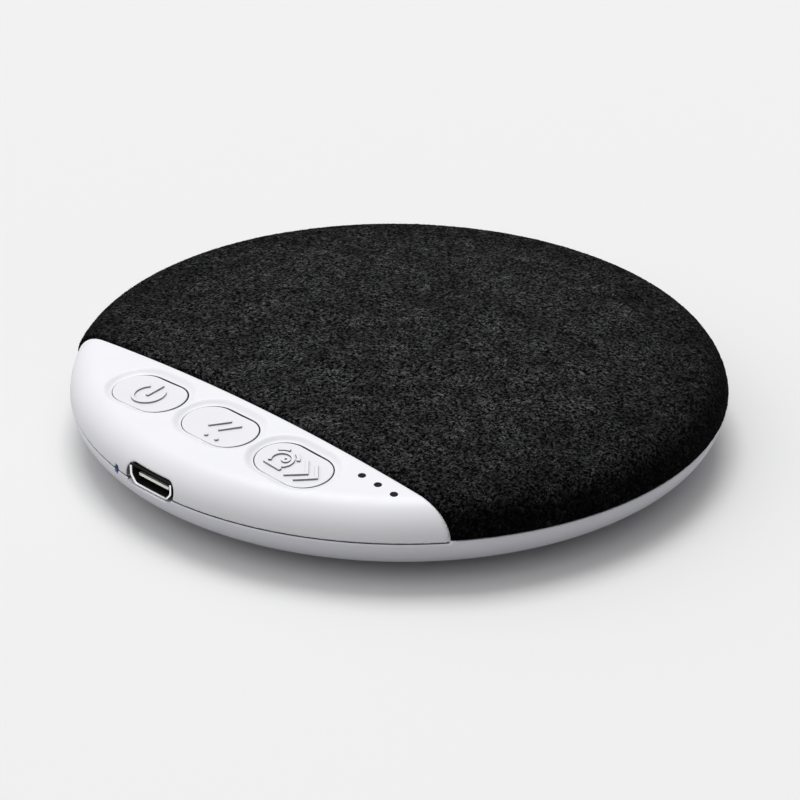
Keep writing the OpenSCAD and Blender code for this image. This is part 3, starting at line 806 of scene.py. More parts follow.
def surface_grain() -> bpy.types.NodeTree:
    """The group for hard surfaces: a drifting tone, an uneven gloss and a fine grain.

    Returns:
        The group's tree, made once.
    """
    found = bpy.data.node_groups.get("surface_grain")
    if found:
        return found
    drift_scale, rub_scale = 140.0, 420.0
    words = {"Colour": (0.8, 0.8, 0.8), "Shade": (0.7, 0.7, 0.7)}
    words |= {"Roughness": 0.4, "Spread": 0.1, "Grain": 3000.0}
    nodes, given, out = group("surface_grain", words, SURFACE_OUT)
    at = nodes.add("TexCoord").outputs["Object"]
    drift = nodes.ramp(nodes.noise(at, drift_scale, 3.0), NOISE_SPAN)
    fine = nodes.noise(at, given.outputs["Grain"], 3.0)
    rub = nodes.ramp(nodes.noise(at, rub_scale, 4.0), NOISE_SPAN, (-1.0, 1.0))
    rub = nodes.math("MULTIPLY", rub, given.outputs["Spread"])
    tone = nodes.mix(drift, given.outputs["Colour"], given.outputs["Shade"])
    nodes.put(out.inputs["Colour"], tone)
    nodes.put(out.inputs["Roughness"], nodes.math("ADD", given.outputs["Roughness"], rub))
    nodes.put(out.inputs["Height"], fine)
    return nodes.tree


def fibre_mottle() -> bpy.types.NodeTree:
    """The group for felt: matted fibres over dark pits, in soft patches, with painted shade that darkens it
    down the roll.

    Returns:
        The group's tree, made once.
    """
    found = bpy.data.node_groups.get("fibre_mottle")
    if found:
        return found
    strand_lies = ((0.35, 4200.0), (1.5, 4600.0), (2.45, 4400.0))
    strand_shape, strand_span = (1.0, 3.0, 2.0), (0.6, 0.76)
    pit_scale, pit_span = 2300.0, (0.46, 0.62)
    patch_scale, patch_range = 230.0, (0.2, 1.2)
    clump_scale, clump_range = 600.0, (0.5, 1.0)
    roll_shade_span, roll_shade_power, roll_shade_least = (0.0072, 0.0131), 2.3, 0.14
    pit_height, strand_height = 0.6, 0.4
    rough_range = (0.95, 0.75)
    words = {"Pit": (0.004, 0.004, 0.004), "Body": (0.016, 0.016, 0.017)}
    words |= {"Fibre": (0.06, 0.06, 0.062), "Tone": 0.0}
    nodes, given, out = group("fibre_mottle", words, SURFACE_OUT)
    at = nodes.add("TexCoord").outputs["Object"]
    mask = None
    for turn, scale in strand_lies:
        lie = {"Vector": at, "Rotation": (0.0, 0.0, turn), "Scale": strand_shape}
        along = nodes.add("Mapping", lie, vector_type="TEXTURE").outputs[0]
        strands = nodes.ramp(nodes.noise(along, scale, 1.0), strand_span)
        mask = strands if mask is None else nodes.math("MAXIMUM", mask, strands)
    pits = nodes.ramp(nodes.noise(at, pit_scale, 3.0), pit_span)
    patch = nodes.ramp(nodes.noise(at, patch_scale, 3.0), NOISE_SPAN, patch_range)
    lit = nodes.math("MULTIPLY", mask, patch)
    ground = nodes.mix(pits, given.outputs["Pit"], given.outputs["Body"])
    matted = nodes.mix(lit, ground, given.outputs["Fibre"])
    loose = nodes.mix(given.outputs["Tone"], matted, given.outputs["Fibre"])
    # Painted shade: the felt and its loose fibres are darkened towards the bottom of the roll
    flat = nodes.math("POWER", nodes.ramp(nodes.part(at, "Z"), roll_shade_span), roll_shade_power)
    clump = nodes.ramp(nodes.noise(at, clump_scale, 2.0), NOISE_SPAN, clump_range)
    shade = nodes.math("MULTIPLY", nodes.math("MAXIMUM", flat, roll_shade_least), clump)
    rise = nodes.math("MULTIPLY", pits, pit_height)
    rise = nodes.math("ADD", rise, nodes.math("MULTIPLY", mask, strand_height))
    nodes.put(out.inputs["Colour"], nodes.mix(shade, (0.0, 0.0, 0.0), loose))
    nodes.put(out.inputs["Roughness"], nodes.ramp(lit, (0.0, 1.0), rough_range))
    nodes.put(out.inputs["Height"], rise)
    return nodes.tree


def blank_material(label: str) -> tuple[bpy.types.Material, Nodes]:
    """Start a material without nodes.

    Args:
        label: Its name.

    Returns:
        The material, and its tree under construction.
    """
    material = bpy.data.materials.new(label)
    material.use_nodes = True
    material.node_tree.nodes.clear()
    return material, Nodes(material.node_tree)


@dataclass(frozen=True)
class Finish:
    """A hard or rubbery surface: its two tones, its gloss and its grain."""

    name: str
    colour: Colour
    shade: Colour
    roughness: float = 0.4
    spread: float = 0.05
    metallic: float = 0.0
    coat: float = 0.0
    coat_roughness: float = 0.1
    grain_mm: float = 0.3
    relief_mm: float = 0.002
    specular: float = 0.5

    def tinted(self, nodes: Nodes, colour: bpy.types.NodeSocket) -> bpy.types.NodeSocket:
        """The surface's colour as it goes into the shader."""
        return colour

    def material(self) -> bpy.types.Material:
        """The finish as a material.

        Returns:
            The material, made once.
        """
        label = f"{self.name}_finish"
        found = bpy.data.materials.get(label)
        if found:
            return found
        material, nodes = blank_material(label)
        given = {
            "Colour": (*self.colour, 1),
            "Shade": (*self.shade, 1),
            "Roughness": self.roughness,
            "Spread": self.spread,
            "Grain": 1 / (self.grain_mm * MM),
        }
        grain = nodes.add("Group", given, node_tree=surface_grain()).outputs
        relief = {"Strength": 1.0, "Distance": self.relief_mm * MM, "Height": grain["Height"]}
        shader = nodes.add(
            "BsdfPrincipled",
            {
                "Base Color": self.tinted(nodes, grain["Colour"]),
                "Roughness": grain["Roughness"],
                "Metallic": self.metallic,
                "Coat Weight": self.coat,
                "Coat Roughness": self.coat_roughness,
                "Specular IOR Level": self.specular,
                "Normal": nodes.add("Bump", relief).outputs[0],
            },
        )
        nodes.add("OutputMaterial", {"Surface": shader.outputs[0]})
        return material


@dataclass(frozen=True)
class DepthShadeFinish(Finish):
    """A finish with painted shade: it turns dark behind a plane across Y, where shade falls inside a
    socket.
    """

    start_y: float = 0.0
    fade_mm: float = 0.3
    deep_shade: Colour = (0.002, 0.002, 0.002)

    def tinted(self, nodes: Nodes, colour: bpy.types.NodeSocket) -> bpy.types.NodeSocket:
        """The surface's colour, with painted shade behind the plane.

        Args:
            nodes: The material's tree.
            colour: The colour in front of the plane.

        Returns:
            The colour that goes into the shader.
        """
        y = nodes.part(nodes.add("TexCoord").outputs["Object"], "Y")
        share = nodes.ramp(y, (self.start_y * MM, (self.start_y + self.fade_mm) * MM))
        return nodes.mix(share, colour, self.deep_shade)


@dataclass(frozen=True)
class FeltFinish:
    """Charcoal felt, or the loose fibres that stand out of it."""

    name: str
    pit: Colour = (0.0006, 0.0006, 0.0007)
    body: Colour = (0.0414, 0.0414, 0.043)
    fibre: Colour = (0.1655, 0.169, 0.1745)
    loose: bool = False
    relief_mm: float = 0.12
    relief_share: float = 0.8
    specular: float = 0.02

    def material(self) -> bpy.types.Material:
        """The finish as a material.

        Returns:
            The material, made once.
        """
        label = f"{self.name}_finish"
        found = bpy.data.materials.get(label)
        if found:
            return found
        material, nodes = blank_material(label)
        tones = {"Pit": self.pit, "Body": self.body, "Fibre": self.fibre}
        given: dict[str, object] = {place: (*tone, 1) for place, tone in tones.items()}
        if self.loose:
            given["Tone"] = nodes.add("Attribute", attribute_name="tone").outputs["Fac"]
        felt = nodes.add("Group", given, node_tree=fibre_mottle()).outputs
        words = {"Base Color": felt["Colour"], "Roughness": felt["Roughness"]}
        shader = nodes.add("BsdfPrincipled", {**words, "Specular IOR Level": self.specular})
        if not self.loose:
            relief = {"Strength": self.relief_share, "Distance": self.relief_mm * MM}
            bump = nodes.add("Bump", {**relief, "Height": felt["Height"]})
            nodes.put(shader.inputs["Normal"], bump.outputs[0])
        nodes.add("OutputMaterial", {"Surface": shader.outputs[0]})
        return material


SHELL_WHITE = Finish(
    "white_shell",
    (0.86, 0.862, 0.93),
    (0.84, 0.842, 0.91),
    roughness=0.42,
    coat=0.06,
    coat_roughness=0.2,
    grain_mm=0.22,
    relief_mm=0.0004,
)
PANEL_WHITE = Finish(
    "white_panel",
    (0.85, 0.85, 0.885),
    (0.835, 0.835, 0.87),
    roughness=0.42,
    coat=0.08,
    coat_roughness=0.2,
    grain_mm=0.25,
    relief_mm=0.0003,
)
# Key white, partly painted shade: darker than the panel's white as shade on the recessed, dished keys
KEY_WHITE_SHADED = Finish(
    "white_keys_shaded",
    (0.795, 0.795, 0.83),
    (0.78, 0.78, 0.815),
    roughness=0.42,
    coat=0.06,
    grain_mm=0.18,
    relief_mm=0.0005,
)
# Dark grey painted shade for the walls of the keys' strokes and skirts
STROKE_SHADE = Finish("stroke_wall_painted_shade", (0.23, 0.23, 0.245), (0.21, 0.21, 0.225), 0.6, specular=0.2)
# Grey painted shade for the walls of the socket's opening in the white plastic
PORT_WALL_SHADE = Finish("port_wall_painted_shade", (0.2, 0.205, 0.23), (0.19, 0.195, 0.22), 0.6, specular=0.2)
# Near black painted shade for the seam and the gaps round the keys and windows
GROOVE_SHADE = Finish("groove_painted_shade", (0.1, 0.1, 0.108), (0.088, 0.088, 0.096), 0.7, specular=0.1)
SOCKET_STEEL = Finish(
    "socket_steel",
    (0.97, 0.97, 0.98),
    (0.93, 0.93, 0.94),
    roughness=0.2,
    spread=0.04,
    metallic=1.0,
    grain_mm=0.12,
    relief_mm=0.001,
)
# Near black painted shade for the socket's steel shell inside the opening
SOCKET_SHADE = Finish(
    "socket_painted_shade",
    (0.004, 0.004, 0.004),
    (0.008, 0.007, 0.006),
    roughness=0.5,
    spread=0.1,
    grain_mm=0.2,
    specular=0.15,
)
FELT = FeltFinish("charcoal_felt")
NAP = FeltFinish("charcoal_nap", loose=True)
SMOKED = Finish(
    "smoked_lens",
    (0.004, 0.004, 0.0045),
    (0.006, 0.006, 0.007),
    roughness=0.6,
    grain_mm=0.15,
    specular=0.1,
)
BLUE_LENS = Finish(
    "blue_lens",
    (0.012, 0.045, 0.2),
    (0.016, 0.06, 0.25),
    roughness=0.4,
    spread=0.04,
    grain_mm=0.15,
    specular=0.2,
)
RUBBER = Finish(
    "grey_rubber",
    (0.06, 0.06, 0.062),
    (0.085, 0.085, 0.087),
    roughness=0.75,
    spread=0.08,
    grain_mm=0.2,
    relief_mm=0.006,
)
SCREW_STEEL = Finish(
    "screw_steel",
    (0.55, 0.55, 0.56),
    (0.46, 0.46, 0.47),
    roughness=0.35,
    spread=0.1,
    metallic=1.0,
    grain_mm=0.1,
)
NICKEL = Finish(
    "nickel_plate",
    (0.66, 0.65, 0.63),
    (0.56, 0.55, 0.54),
    roughness=0.28,
    spread=0.08,
    metallic=1.0,
    grain_mm=0.2,
)
BLACK_PLASTIC = Finish(
    "black_plastic",
    (0.02, 0.02, 0.021),
    (0.03, 0.03, 0.031),
    roughness=0.55,
    spread=0.08,
    grain_mm=0.2,
    relief_mm=0.004,
)
PALE_PLASTIC = Finish("pale_plastic", (0.72, 0.71, 0.67), (0.66, 0.65, 0.61), 0.5, 0.06, grain_mm=0.15)
BOARD = Finish(
    "board_laminate",
    (0.012, 0.11, 0.045),
    (0.02, 0.15, 0.06),
    roughness=0.4,
    spread=0.08,
    grain_mm=0.5,
    relief_mm=0.006,
)
# Gold with painted shade behind a plane inside the socket
GOLD_DEEP_SHADE = DepthShadeFinish(
    "gold_deep_shade",
    (0.83, 0.6, 0.25),
    (0.74, 0.52, 0.2),
    roughness=0.35,
    spread=0.06,
    metallic=1.0,
)
# Pale tongue plastic with painted shade behind a plane inside the socket
TONGUE_DEEP_SHADE = DepthShadeFinish(
    "pale_tongue_deep_shade",
    (0.93, 0.92, 0.89),
    (0.88, 0.87, 0.84),
    roughness=0.25,
    spread=0.04,
    metallic=0.45,
    fade_mm=0.12,
)
FOIL = Finish(
    "cell_foil",
    (0.62, 0.62, 0.64),
    (0.52, 0.52, 0.54),
    roughness=0.4,
    spread=0.1,
    metallic=0.9,
    grain_mm=0.6,
    relief_mm=0.02,
)
FOAM = Finish("foam_pad", (0.62, 0.56, 0.36), (0.54, 0.48, 0.3), 0.9, grain_mm=0.25, relief_mm=0.03)
RED_LEAD = Finish("red_lead", (0.55, 0.02, 0.02), (0.45, 0.015, 0.015), 0.5, 0.06)
BLACK_LEAD = Finish("black_lead", (0.015, 0.015, 0.016), (0.025, 0.025, 0.026), 0.5, 0.06)
PAPER_BOARD = Finish("paper_laminate", (0.28, 0.12, 0.05), (0.22, 0.09, 0.035), 0.6, 0.08)
CONE_FILM = Finish(
    "cone_film",
    (0.025, 0.025, 0.027),
    (0.04, 0.04, 0.042),
    roughness=0.45,
    spread=0.1,
    grain_mm=0.4,
    relief_mm=0.01,
)
COPPER = Finish(
    "coil_copper",
    (0.72, 0.32, 0.14),
    (0.6, 0.25, 0.1),
    roughness=0.3,
    spread=0.08,
    metallic=1.0,
    grain_mm=0.12,
    relief_mm=0.01,
)

INNER_FINISHES: dict[str, Finish] = {
    "grille_plate": BLACK_PLASTIC,
    "case_screws": SCREW_STEEL,
    "main_board": BOARD,
    "board_screws": SCREW_STEEL,
    "switch_bodies": BLACK_PLASTIC,
    "power_plunger": BLACK_PLASTIC,
    "noise_plunger": BLACK_PLASTIC,
    "skip_plunger": BLACK_PLASTIC,
    "indicator_leds": PALE_PLASTIC,
    "charge_led": PALE_PLASTIC,
    "sound_chip": BLACK_PLASTIC,
    "amplifier_chip": BLACK_PLASTIC,
    "inductor": SCREW_STEEL,
    "capacitors": PAPER_BOARD,
    "battery_socket": PALE_PLASTIC,
    "speaker_socket": PALE_PLASTIC,
    "battery_pad": FOAM,
    "battery_cell": FOIL,
    "battery_lead_red": RED_LEAD,
    "battery_lead_black": BLACK_LEAD,
    "speaker_lead_red": RED_LEAD,
    "speaker_lead_black": BLACK_LEAD,
    "driver_gasket": FOAM,
    "driver_frame": SCREW_STEEL,
    "driver_screws": SCREW_STEEL,
    "driver_yoke": NICKEL,
    "driver_magnet": NICKEL,
    "driver_top_plate": NICKEL,
    "driver_terminals": PAPER_BOARD,
    "driver_surround": CONE_FILM,
    "driver_cone": CONE_FILM,
    "dust_cap": CONE_FILM,
    "voice_coil": COPPER,
}


def dress(obj: bpy.types.Object, finish: Finish | FeltFinish) -> None:
    """Give a piece one finish all over."""
    obj.data.materials.clear()
    obj.data.materials.append(finish.material())


def dress_faces(obj: bpy.types.Object, finish: Finish, test: PairTest) -> None:
    """Give some faces of a dressed piece another finish.

    Args:
        obj: The piece, in metres.
        finish: The other finish.
        test: Whether a face gets it, from its middle in millimetres and its normal.
    """
    obj.data.materials.append(finish.material())
    with editing(obj, Mode.FACES):
        pick_faces(obj, lambda p, n: test(p / MM, n))
        obj.active_material_index = len(obj.data.materials) - 1
        bpy.ops.object.material_slot_assign()


# Sub-assemblies


@dataclass
class Body:
    """Sizes that the pieces share, in millimetres, taken from the frame."""

    body_r: float
    seam_z: float
    crown_z: float
    key_y: float
    key_pitch: float
    seam: float = 0.15
    wall: float = 1.6
    fabric_proud: float = 0.35
    fit_gap: float = 0.15
    panel_depth: float = 17.7

    @classmethod
    def from_frame(cls) -> Body:
        """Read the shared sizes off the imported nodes.

        Returns:
            The sizes.
        """
        keys = [(low + high) / 2 for low, high in (box_mm(key.node) for key in Key)]
        return cls(
            body_r=round(box_mm("bottom_shell")[1].x, 2),
            seam_z=round(box_mm("control_panel")[0].z - cls.seam / 2, 3),
            crown_z=round(box_mm("fabric_cover")[1].z - cls.fabric_proud, 3),
            key_y=round(keys[1].y, 3),
            key_pitch=round((keys[2].x - keys[0].x) / 2, 3),
        )

    @property
    def roof(self) -> RoofLine:
        """Outer line of the top."""
        return RoofLine(self.body_r, self.seam_z, self.crown_z - self.seam_z)

    @property
    def chord_y(self) -> float:
        """Place of the panel's straight edge."""
        return self.panel_depth - self.body_r

    @property
    def felt_y(self) -> float:
        """Place of the felt's straight edge."""
        return self.chord_y + self.fit_gap

    def key_at(self, key: Key) -> Vector:
        """A key's place seen from above."""
        return Vector((key.step * self.key_pitch, self.key_y))


@dataclass(frozen=True)
class Notch:
    """A round-ended opening through the rim, seen from the front."""

    x: float
    z: float
    width: float
    height: float
    arc_steps: int = 28
    side_steps: int = 16

    @property
    def tall(self) -> bool:
        """Whether it stands upright."""
        return self.height > self.width

    @property
    def sides(self) -> Spot:
        """Its longer and its shorter side."""
        return max(self.width, self.height), min(self.width, self.height)

    def loop(self, grow: float = 0.0) -> np.ndarray:
        """Points round it, grown, as X and Z."""
        points = slot_loop(*(side + 2 * grow for side in self.sides), self.arc_steps, self.side_steps)
        return (points[:, ::-1] if self.tall else points) + np.array([self.x, self.z])

    def distance(self, places: np.ndarray) -> np.ndarray:
        """Distances outside it.

        Args:
            places: Places on the body, n by 3.

        Returns:
            How far outside the opening each place is, seen from the front.
        """
        front = np.column_stack([places[:, 0] - self.x, places[:, 2] - self.z])
        far = np.where(places[:, 1] < FRONT_Y, 0.0, OFF_FRONT)
        return slot_distance(front[:, ::-1] if self.tall else front, *self.sides) + far

    def half_at(self, z: float) -> float:
        """Half its width at a height.

        Args:
            z: The height.

        Returns:
            The half width.
        """
        straight = (self.sides[0] - self.sides[1]) / 2
        rise, r = abs(z - self.z), self.sides[1] / 2
        if self.tall:
            return math.sqrt(r * r - max(rise - straight, 0) ** 2)
        return straight + math.sqrt(r * r - rise * rise)

    def cutter(self, back_y: float) -> bpy.types.Object:
        """Make a block that cuts it through the rim.

        Args:
            back_y: Where the block ends inside the body.

        Returns:
            The block.
        """
        block = slot_block(*self.sides, RIM_CUT)
        if self.tall:
            placed(block, Matrix.Rotation(QUARTER, 4, "Z"))
        forward = Matrix.Rotation(-QUARTER, 4, "X")
        return placed(block, forward, Matrix.Translation((self.x, back_y, self.z)))


@dataclass
class Port:
    """The charging socket's metal shell, the charge light and the openings round them."""

    body: Body
    chamfer: float = 0.95
    sheet: float = 0.25
    corner: float = 0.28
    corner_steps: int = 4
    flare: float = 0.2
    flare_l: float = 0.5
    lip_l: float = 0.22
    lip_round: float = 0.04
    lip_facing: float = 0.6
    lip_turned: float = 0.3
    lens_round: float = 0.1
    side_room: float = 0.6
    room: float = 0.1
    socket_back: float = -37.6
    light_back: float = -41.0
    wall_near: float = 0.12
    wall_facing: float = 0.75
    wall_up: float = 0.7
    tongue_unshaded: float = 0.32
    contact_shade_lead: float = 0.3

    def notch_of(self, node: str, side: float, room: float) -> Notch:
        """The opening round a node.

        Args:
            node: The node.
            side: Room at each side of it.
            room: Room over and under it.

        Returns:
            The opening.
        """
        low, high = box_mm(node)
        middle, size = (low + high) / 2, high - low
        return Notch(middle.x, middle.z, size.x + 2 * side, size.z + 2 * room)

    @property
    def socket(self) -> Notch:
        """The opening round the socket."""
        return self.notch_of("usb_shell", self.side_room, self.room)

    @property
    def light(self) -> Notch:
        """The opening round the charge light."""
        return self.notch_of("charge_pipe", self.body.fit_gap, self.body.fit_gap)

    def build(self) -> bpy.types.Object:
        """Model the stamped shell: a bent sheet with slanted lower corners and a flared mouth.

        Returns:
            The piece.
        """
        low, high = box_mm("usb_shell")
        middle, lips = (low + high) / 2, high - low
        core = lips - 2 * self.flare * Vector((1, 0, 1))
        lip_y, lid = low.y + self.lip_l, high.z - self.sheet - self.corner

        def lengthwise(a: Vector, b: Vector) -> bool:
            """Whether an edge runs into the socket."""
            return abs(a.y - b.y) > core.y / 2

        def on_lip(place: Vector, normal: Vector) -> bool:
            """Whether a face is in the part of the lip that keeps its steel, outside the painted shade."""
            seen = normal.y < -self.lip_facing or max(abs(normal.x), normal.z) > self.lip_turned
            return place.y < lip_y and place.z < lid and seen

        obj = started(bpy.ops.mesh.primitive_cube_add, size=1)
        with editing(obj, Mode.EDGES, every=True):
            bpy.ops.transform.resize(value=tuple(core))
            bpy.ops.transform.translate(value=tuple(middle))
            pick_edges(obj, lambda a, b: lengthwise(a, b) and max(a.z, b.z) < middle.z)
            bpy.ops.mesh.bevel(offset=self.chamfer, segments=1, affect="EDGES")
            pick_edges(obj, lengthwise)
            bpy.ops.mesh.bevel(offset=self.corner, segments=self.corner_steps, affect="EDGES")
            bpy.ops.mesh.select_all(action="SELECT")
            bpy.ops.mesh.bisect(plane_co=(0, low.y + self.flare_l, 0), plane_no=(0, 1, 0))
            select(Mode.FACES)
            pick_faces(obj, lambda p, n: abs(n.y) > FACING)
            bpy.ops.mesh.delete(type="FACE")
            select(Mode.VERTS)
            pick_verts(obj, lambda p: p.y < low.y + NEAR)
            grow = (lips.x / core.x, 1, lips.z / core.z)
            bpy.ops.transform.resize(value=grow, center_override=(middle.x, low.y, middle.z))
            bpy.ops.mesh.select_all(action="SELECT")
            bpy.ops.mesh.bisect(plane_co=(0, lip_y, 0), plane_no=(0, 1, 0))
        with_modifier(obj, "SOLIDIFY", thickness=self.sheet, offset=-1, use_even_offset=True)
        soften(obj, self.lip_round, 2)
        settle(obj, "usb_socket_shell")
        # The steel shell gets near black painted shade inside and on its top lip; only the lit lip keeps
        # steel
        dress(obj, SOCKET_SHADE)
        dress_faces(obj, SOCKET_STEEL, on_lip)
        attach(obj, "housing")
        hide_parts("usb_shell")
        return obj

    def on_wall(self, place: Vector, normal: Vector) -> bool:
        """Whether a face is in the wall of the socket's opening, which gets painted shade.

        Args:
            place: Its middle in millimetres.
            normal: Its normal.

        Returns:
            Whether it is.
        """
        if place.y > FRONT_Y or abs(normal.y) > self.wall_facing or normal.z > self.wall_up:
            return False
        return abs(self.socket.distance(np.array([place]))[0]) < self.wall_near

    def dress_contacts(self, node: bpy.types.Object) -> None:
        """Give the contacts gold, with painted shade where they lie in the socket."""
        dress(node, replace(GOLD_DEEP_SHADE, start_y=box_mm("usb_contacts")[0].y - self.contact_shade_lead))

    def dress_tongue(self, node: bpy.types.Object) -> None:
        """Give the tongue a pale front edge, with painted shade on its body behind it."""
        dress(node, replace(TONGUE_DEEP_SHADE, start_y=box_mm("usb_tongue")[0].y + self.tongue_unshaded))

    def lens(self) -> bpy.types.Object:
        """Model the charge light's lens, an upright slot with a soft edge.

        Returns:
            The piece.
        """
        low, high = box_mm("charge_pipe")
        middle, size = (low + high) / 2, high - low
        upright, back = Matrix.Rotation(QUARTER, 4, "Z"), Matrix.Rotation(QUARTER, 4, "X")
        obj = slot_block(size.z, size.x, size.y)
        placed(obj, upright, back, Matrix.Translation((middle.x, low.y, middle.z)))
        soften(obj, self.lens_round, 3)
        settle(obj, "charge_light")
        dress(obj, BLUE_LENS)
        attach(obj, "housing")
        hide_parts("charge_pipe")
        return obj


@dataclass
class BottomShell:
    """The white dish that carries everything, with a higher rim under the felt."""

    body: Body
    port: Port
    base_r: float = 32.3
    rim_up: float = 0.25
    rim_round: float = 0.15
    rim_points: int = 5
    rim_step: float = 0.12
    rim_low: float = 0.05
    cut_reach: float = 0.9
    bowl_steps: int = 22
    spin_steps: int = 360
    foot_z: float = 0.6
    recess_r: float = 4.65
    recess_top: float = 1.3
    recess_verts: int = 96
    sharp: float = 32
    feet: tuple[Spot, ...] = ((25.9, 5.8), (-25.9, 5.8), (22.0, -15.1), (-22.0, -15.1))

    def section(self) -> list[Spot]:
        """The half section, from the axis along the floor, over the rim and back under the dish.

        Returns:
            Radius and height of each of its points.
        """
        body, wall = self.body, self.body.wall
        height = body.seam_z - self.foot_z
        span, rim = body.body_r - self.base_r, body.seam_z + self.rim_up

        def bowl(inset: float, turn: float) -> Spot:
            """A point of the dish's side, inside its outer line."""
            r = self.base_r + (span - inset) * math.cos(turn)
            return r, body.seam_z - (height - inset) * math.sin(turn)

        turns = [math.pi / 2 * k / self.bowl_steps for k in range(1, self.bowl_steps + 1)]
        inside = [bowl(wall, t) for t in reversed(turns[1:])]
        r = self.rim_round
        edge = [
            (body.body_r - r + r * math.sin(t), rim - r + r * math.cos(t))
            for t in np.linspace(0, math.pi / 2, self.rim_points)
        ]
        outside = [bowl(0, t) for t in turns]
        floor = (0, self.foot_z + wall)
        return [floor, *inside, (body.body_r - wall, rim), *edge, *outside, (0, self.foot_z)]

    def build(self) -> bpy.types.Object:
        """Model the dish, its lower rim in front, its foot recesses and its openings.

        Returns:
            The piece.
        """
        body = self.body
        inner_r, groove_z = body.body_r - self.rim_round, body.seam_z - body.seam

        def in_groove(place: Vector, normal: Vector) -> bool:
            """Whether a face is in the top of the rim, inside its rounded edge, where the seam gets painted
            shade.
            """
            return normal.z > FACING and place.z > groove_z and place.xy.length < inner_r

        obj = spun(self.section(), self.spin_steps)
        with editing(obj):
            for y in (body.felt_y, body.felt_y - self.rim_step):
                pick_verts(obj, lambda p: p.z > body.seam_z - self.cut_reach)
                bpy.ops.mesh.bisect(plane_co=(0, y, 0), plane_no=(0, 1, 0), threshold=CUT_SLACK)
            low, middle_y = body.seam_z - self.rim_low, body.felt_y - self.rim_step / 2
            pick_verts(obj, lambda p: p.z > low and p.y < middle_y)
            bpy.ops.transform.translate(value=(0, 0, -self.rim_up - body.seam / 2))
        words = {"vertices": self.recess_verts, "radius": self.recess_r, "depth": 2 * self.recess_top}
        for x, y in self.feet:
            carve(obj, started(bpy.ops.mesh.primitive_cylinder_add, location=(x, y, 0), **words))
        carve(obj, self.port.socket.cutter(self.port.socket_back))
        carve(obj, self.port.light.cutter(self.port.light_back))
        settle(obj, "shell_dish", self.sharp)
        dress(obj, SHELL_WHITE)
        # Painted shade on the walls of the socket's opening
        dress_faces(obj, PORT_WALL_SHADE, self.port.on_wall)
        # Painted shade in the seam on top of the rim
        dress_faces(obj, GROOVE_SHADE, in_groove)
        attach(obj, "housing")
        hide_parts("bottom_shell")
        return obj


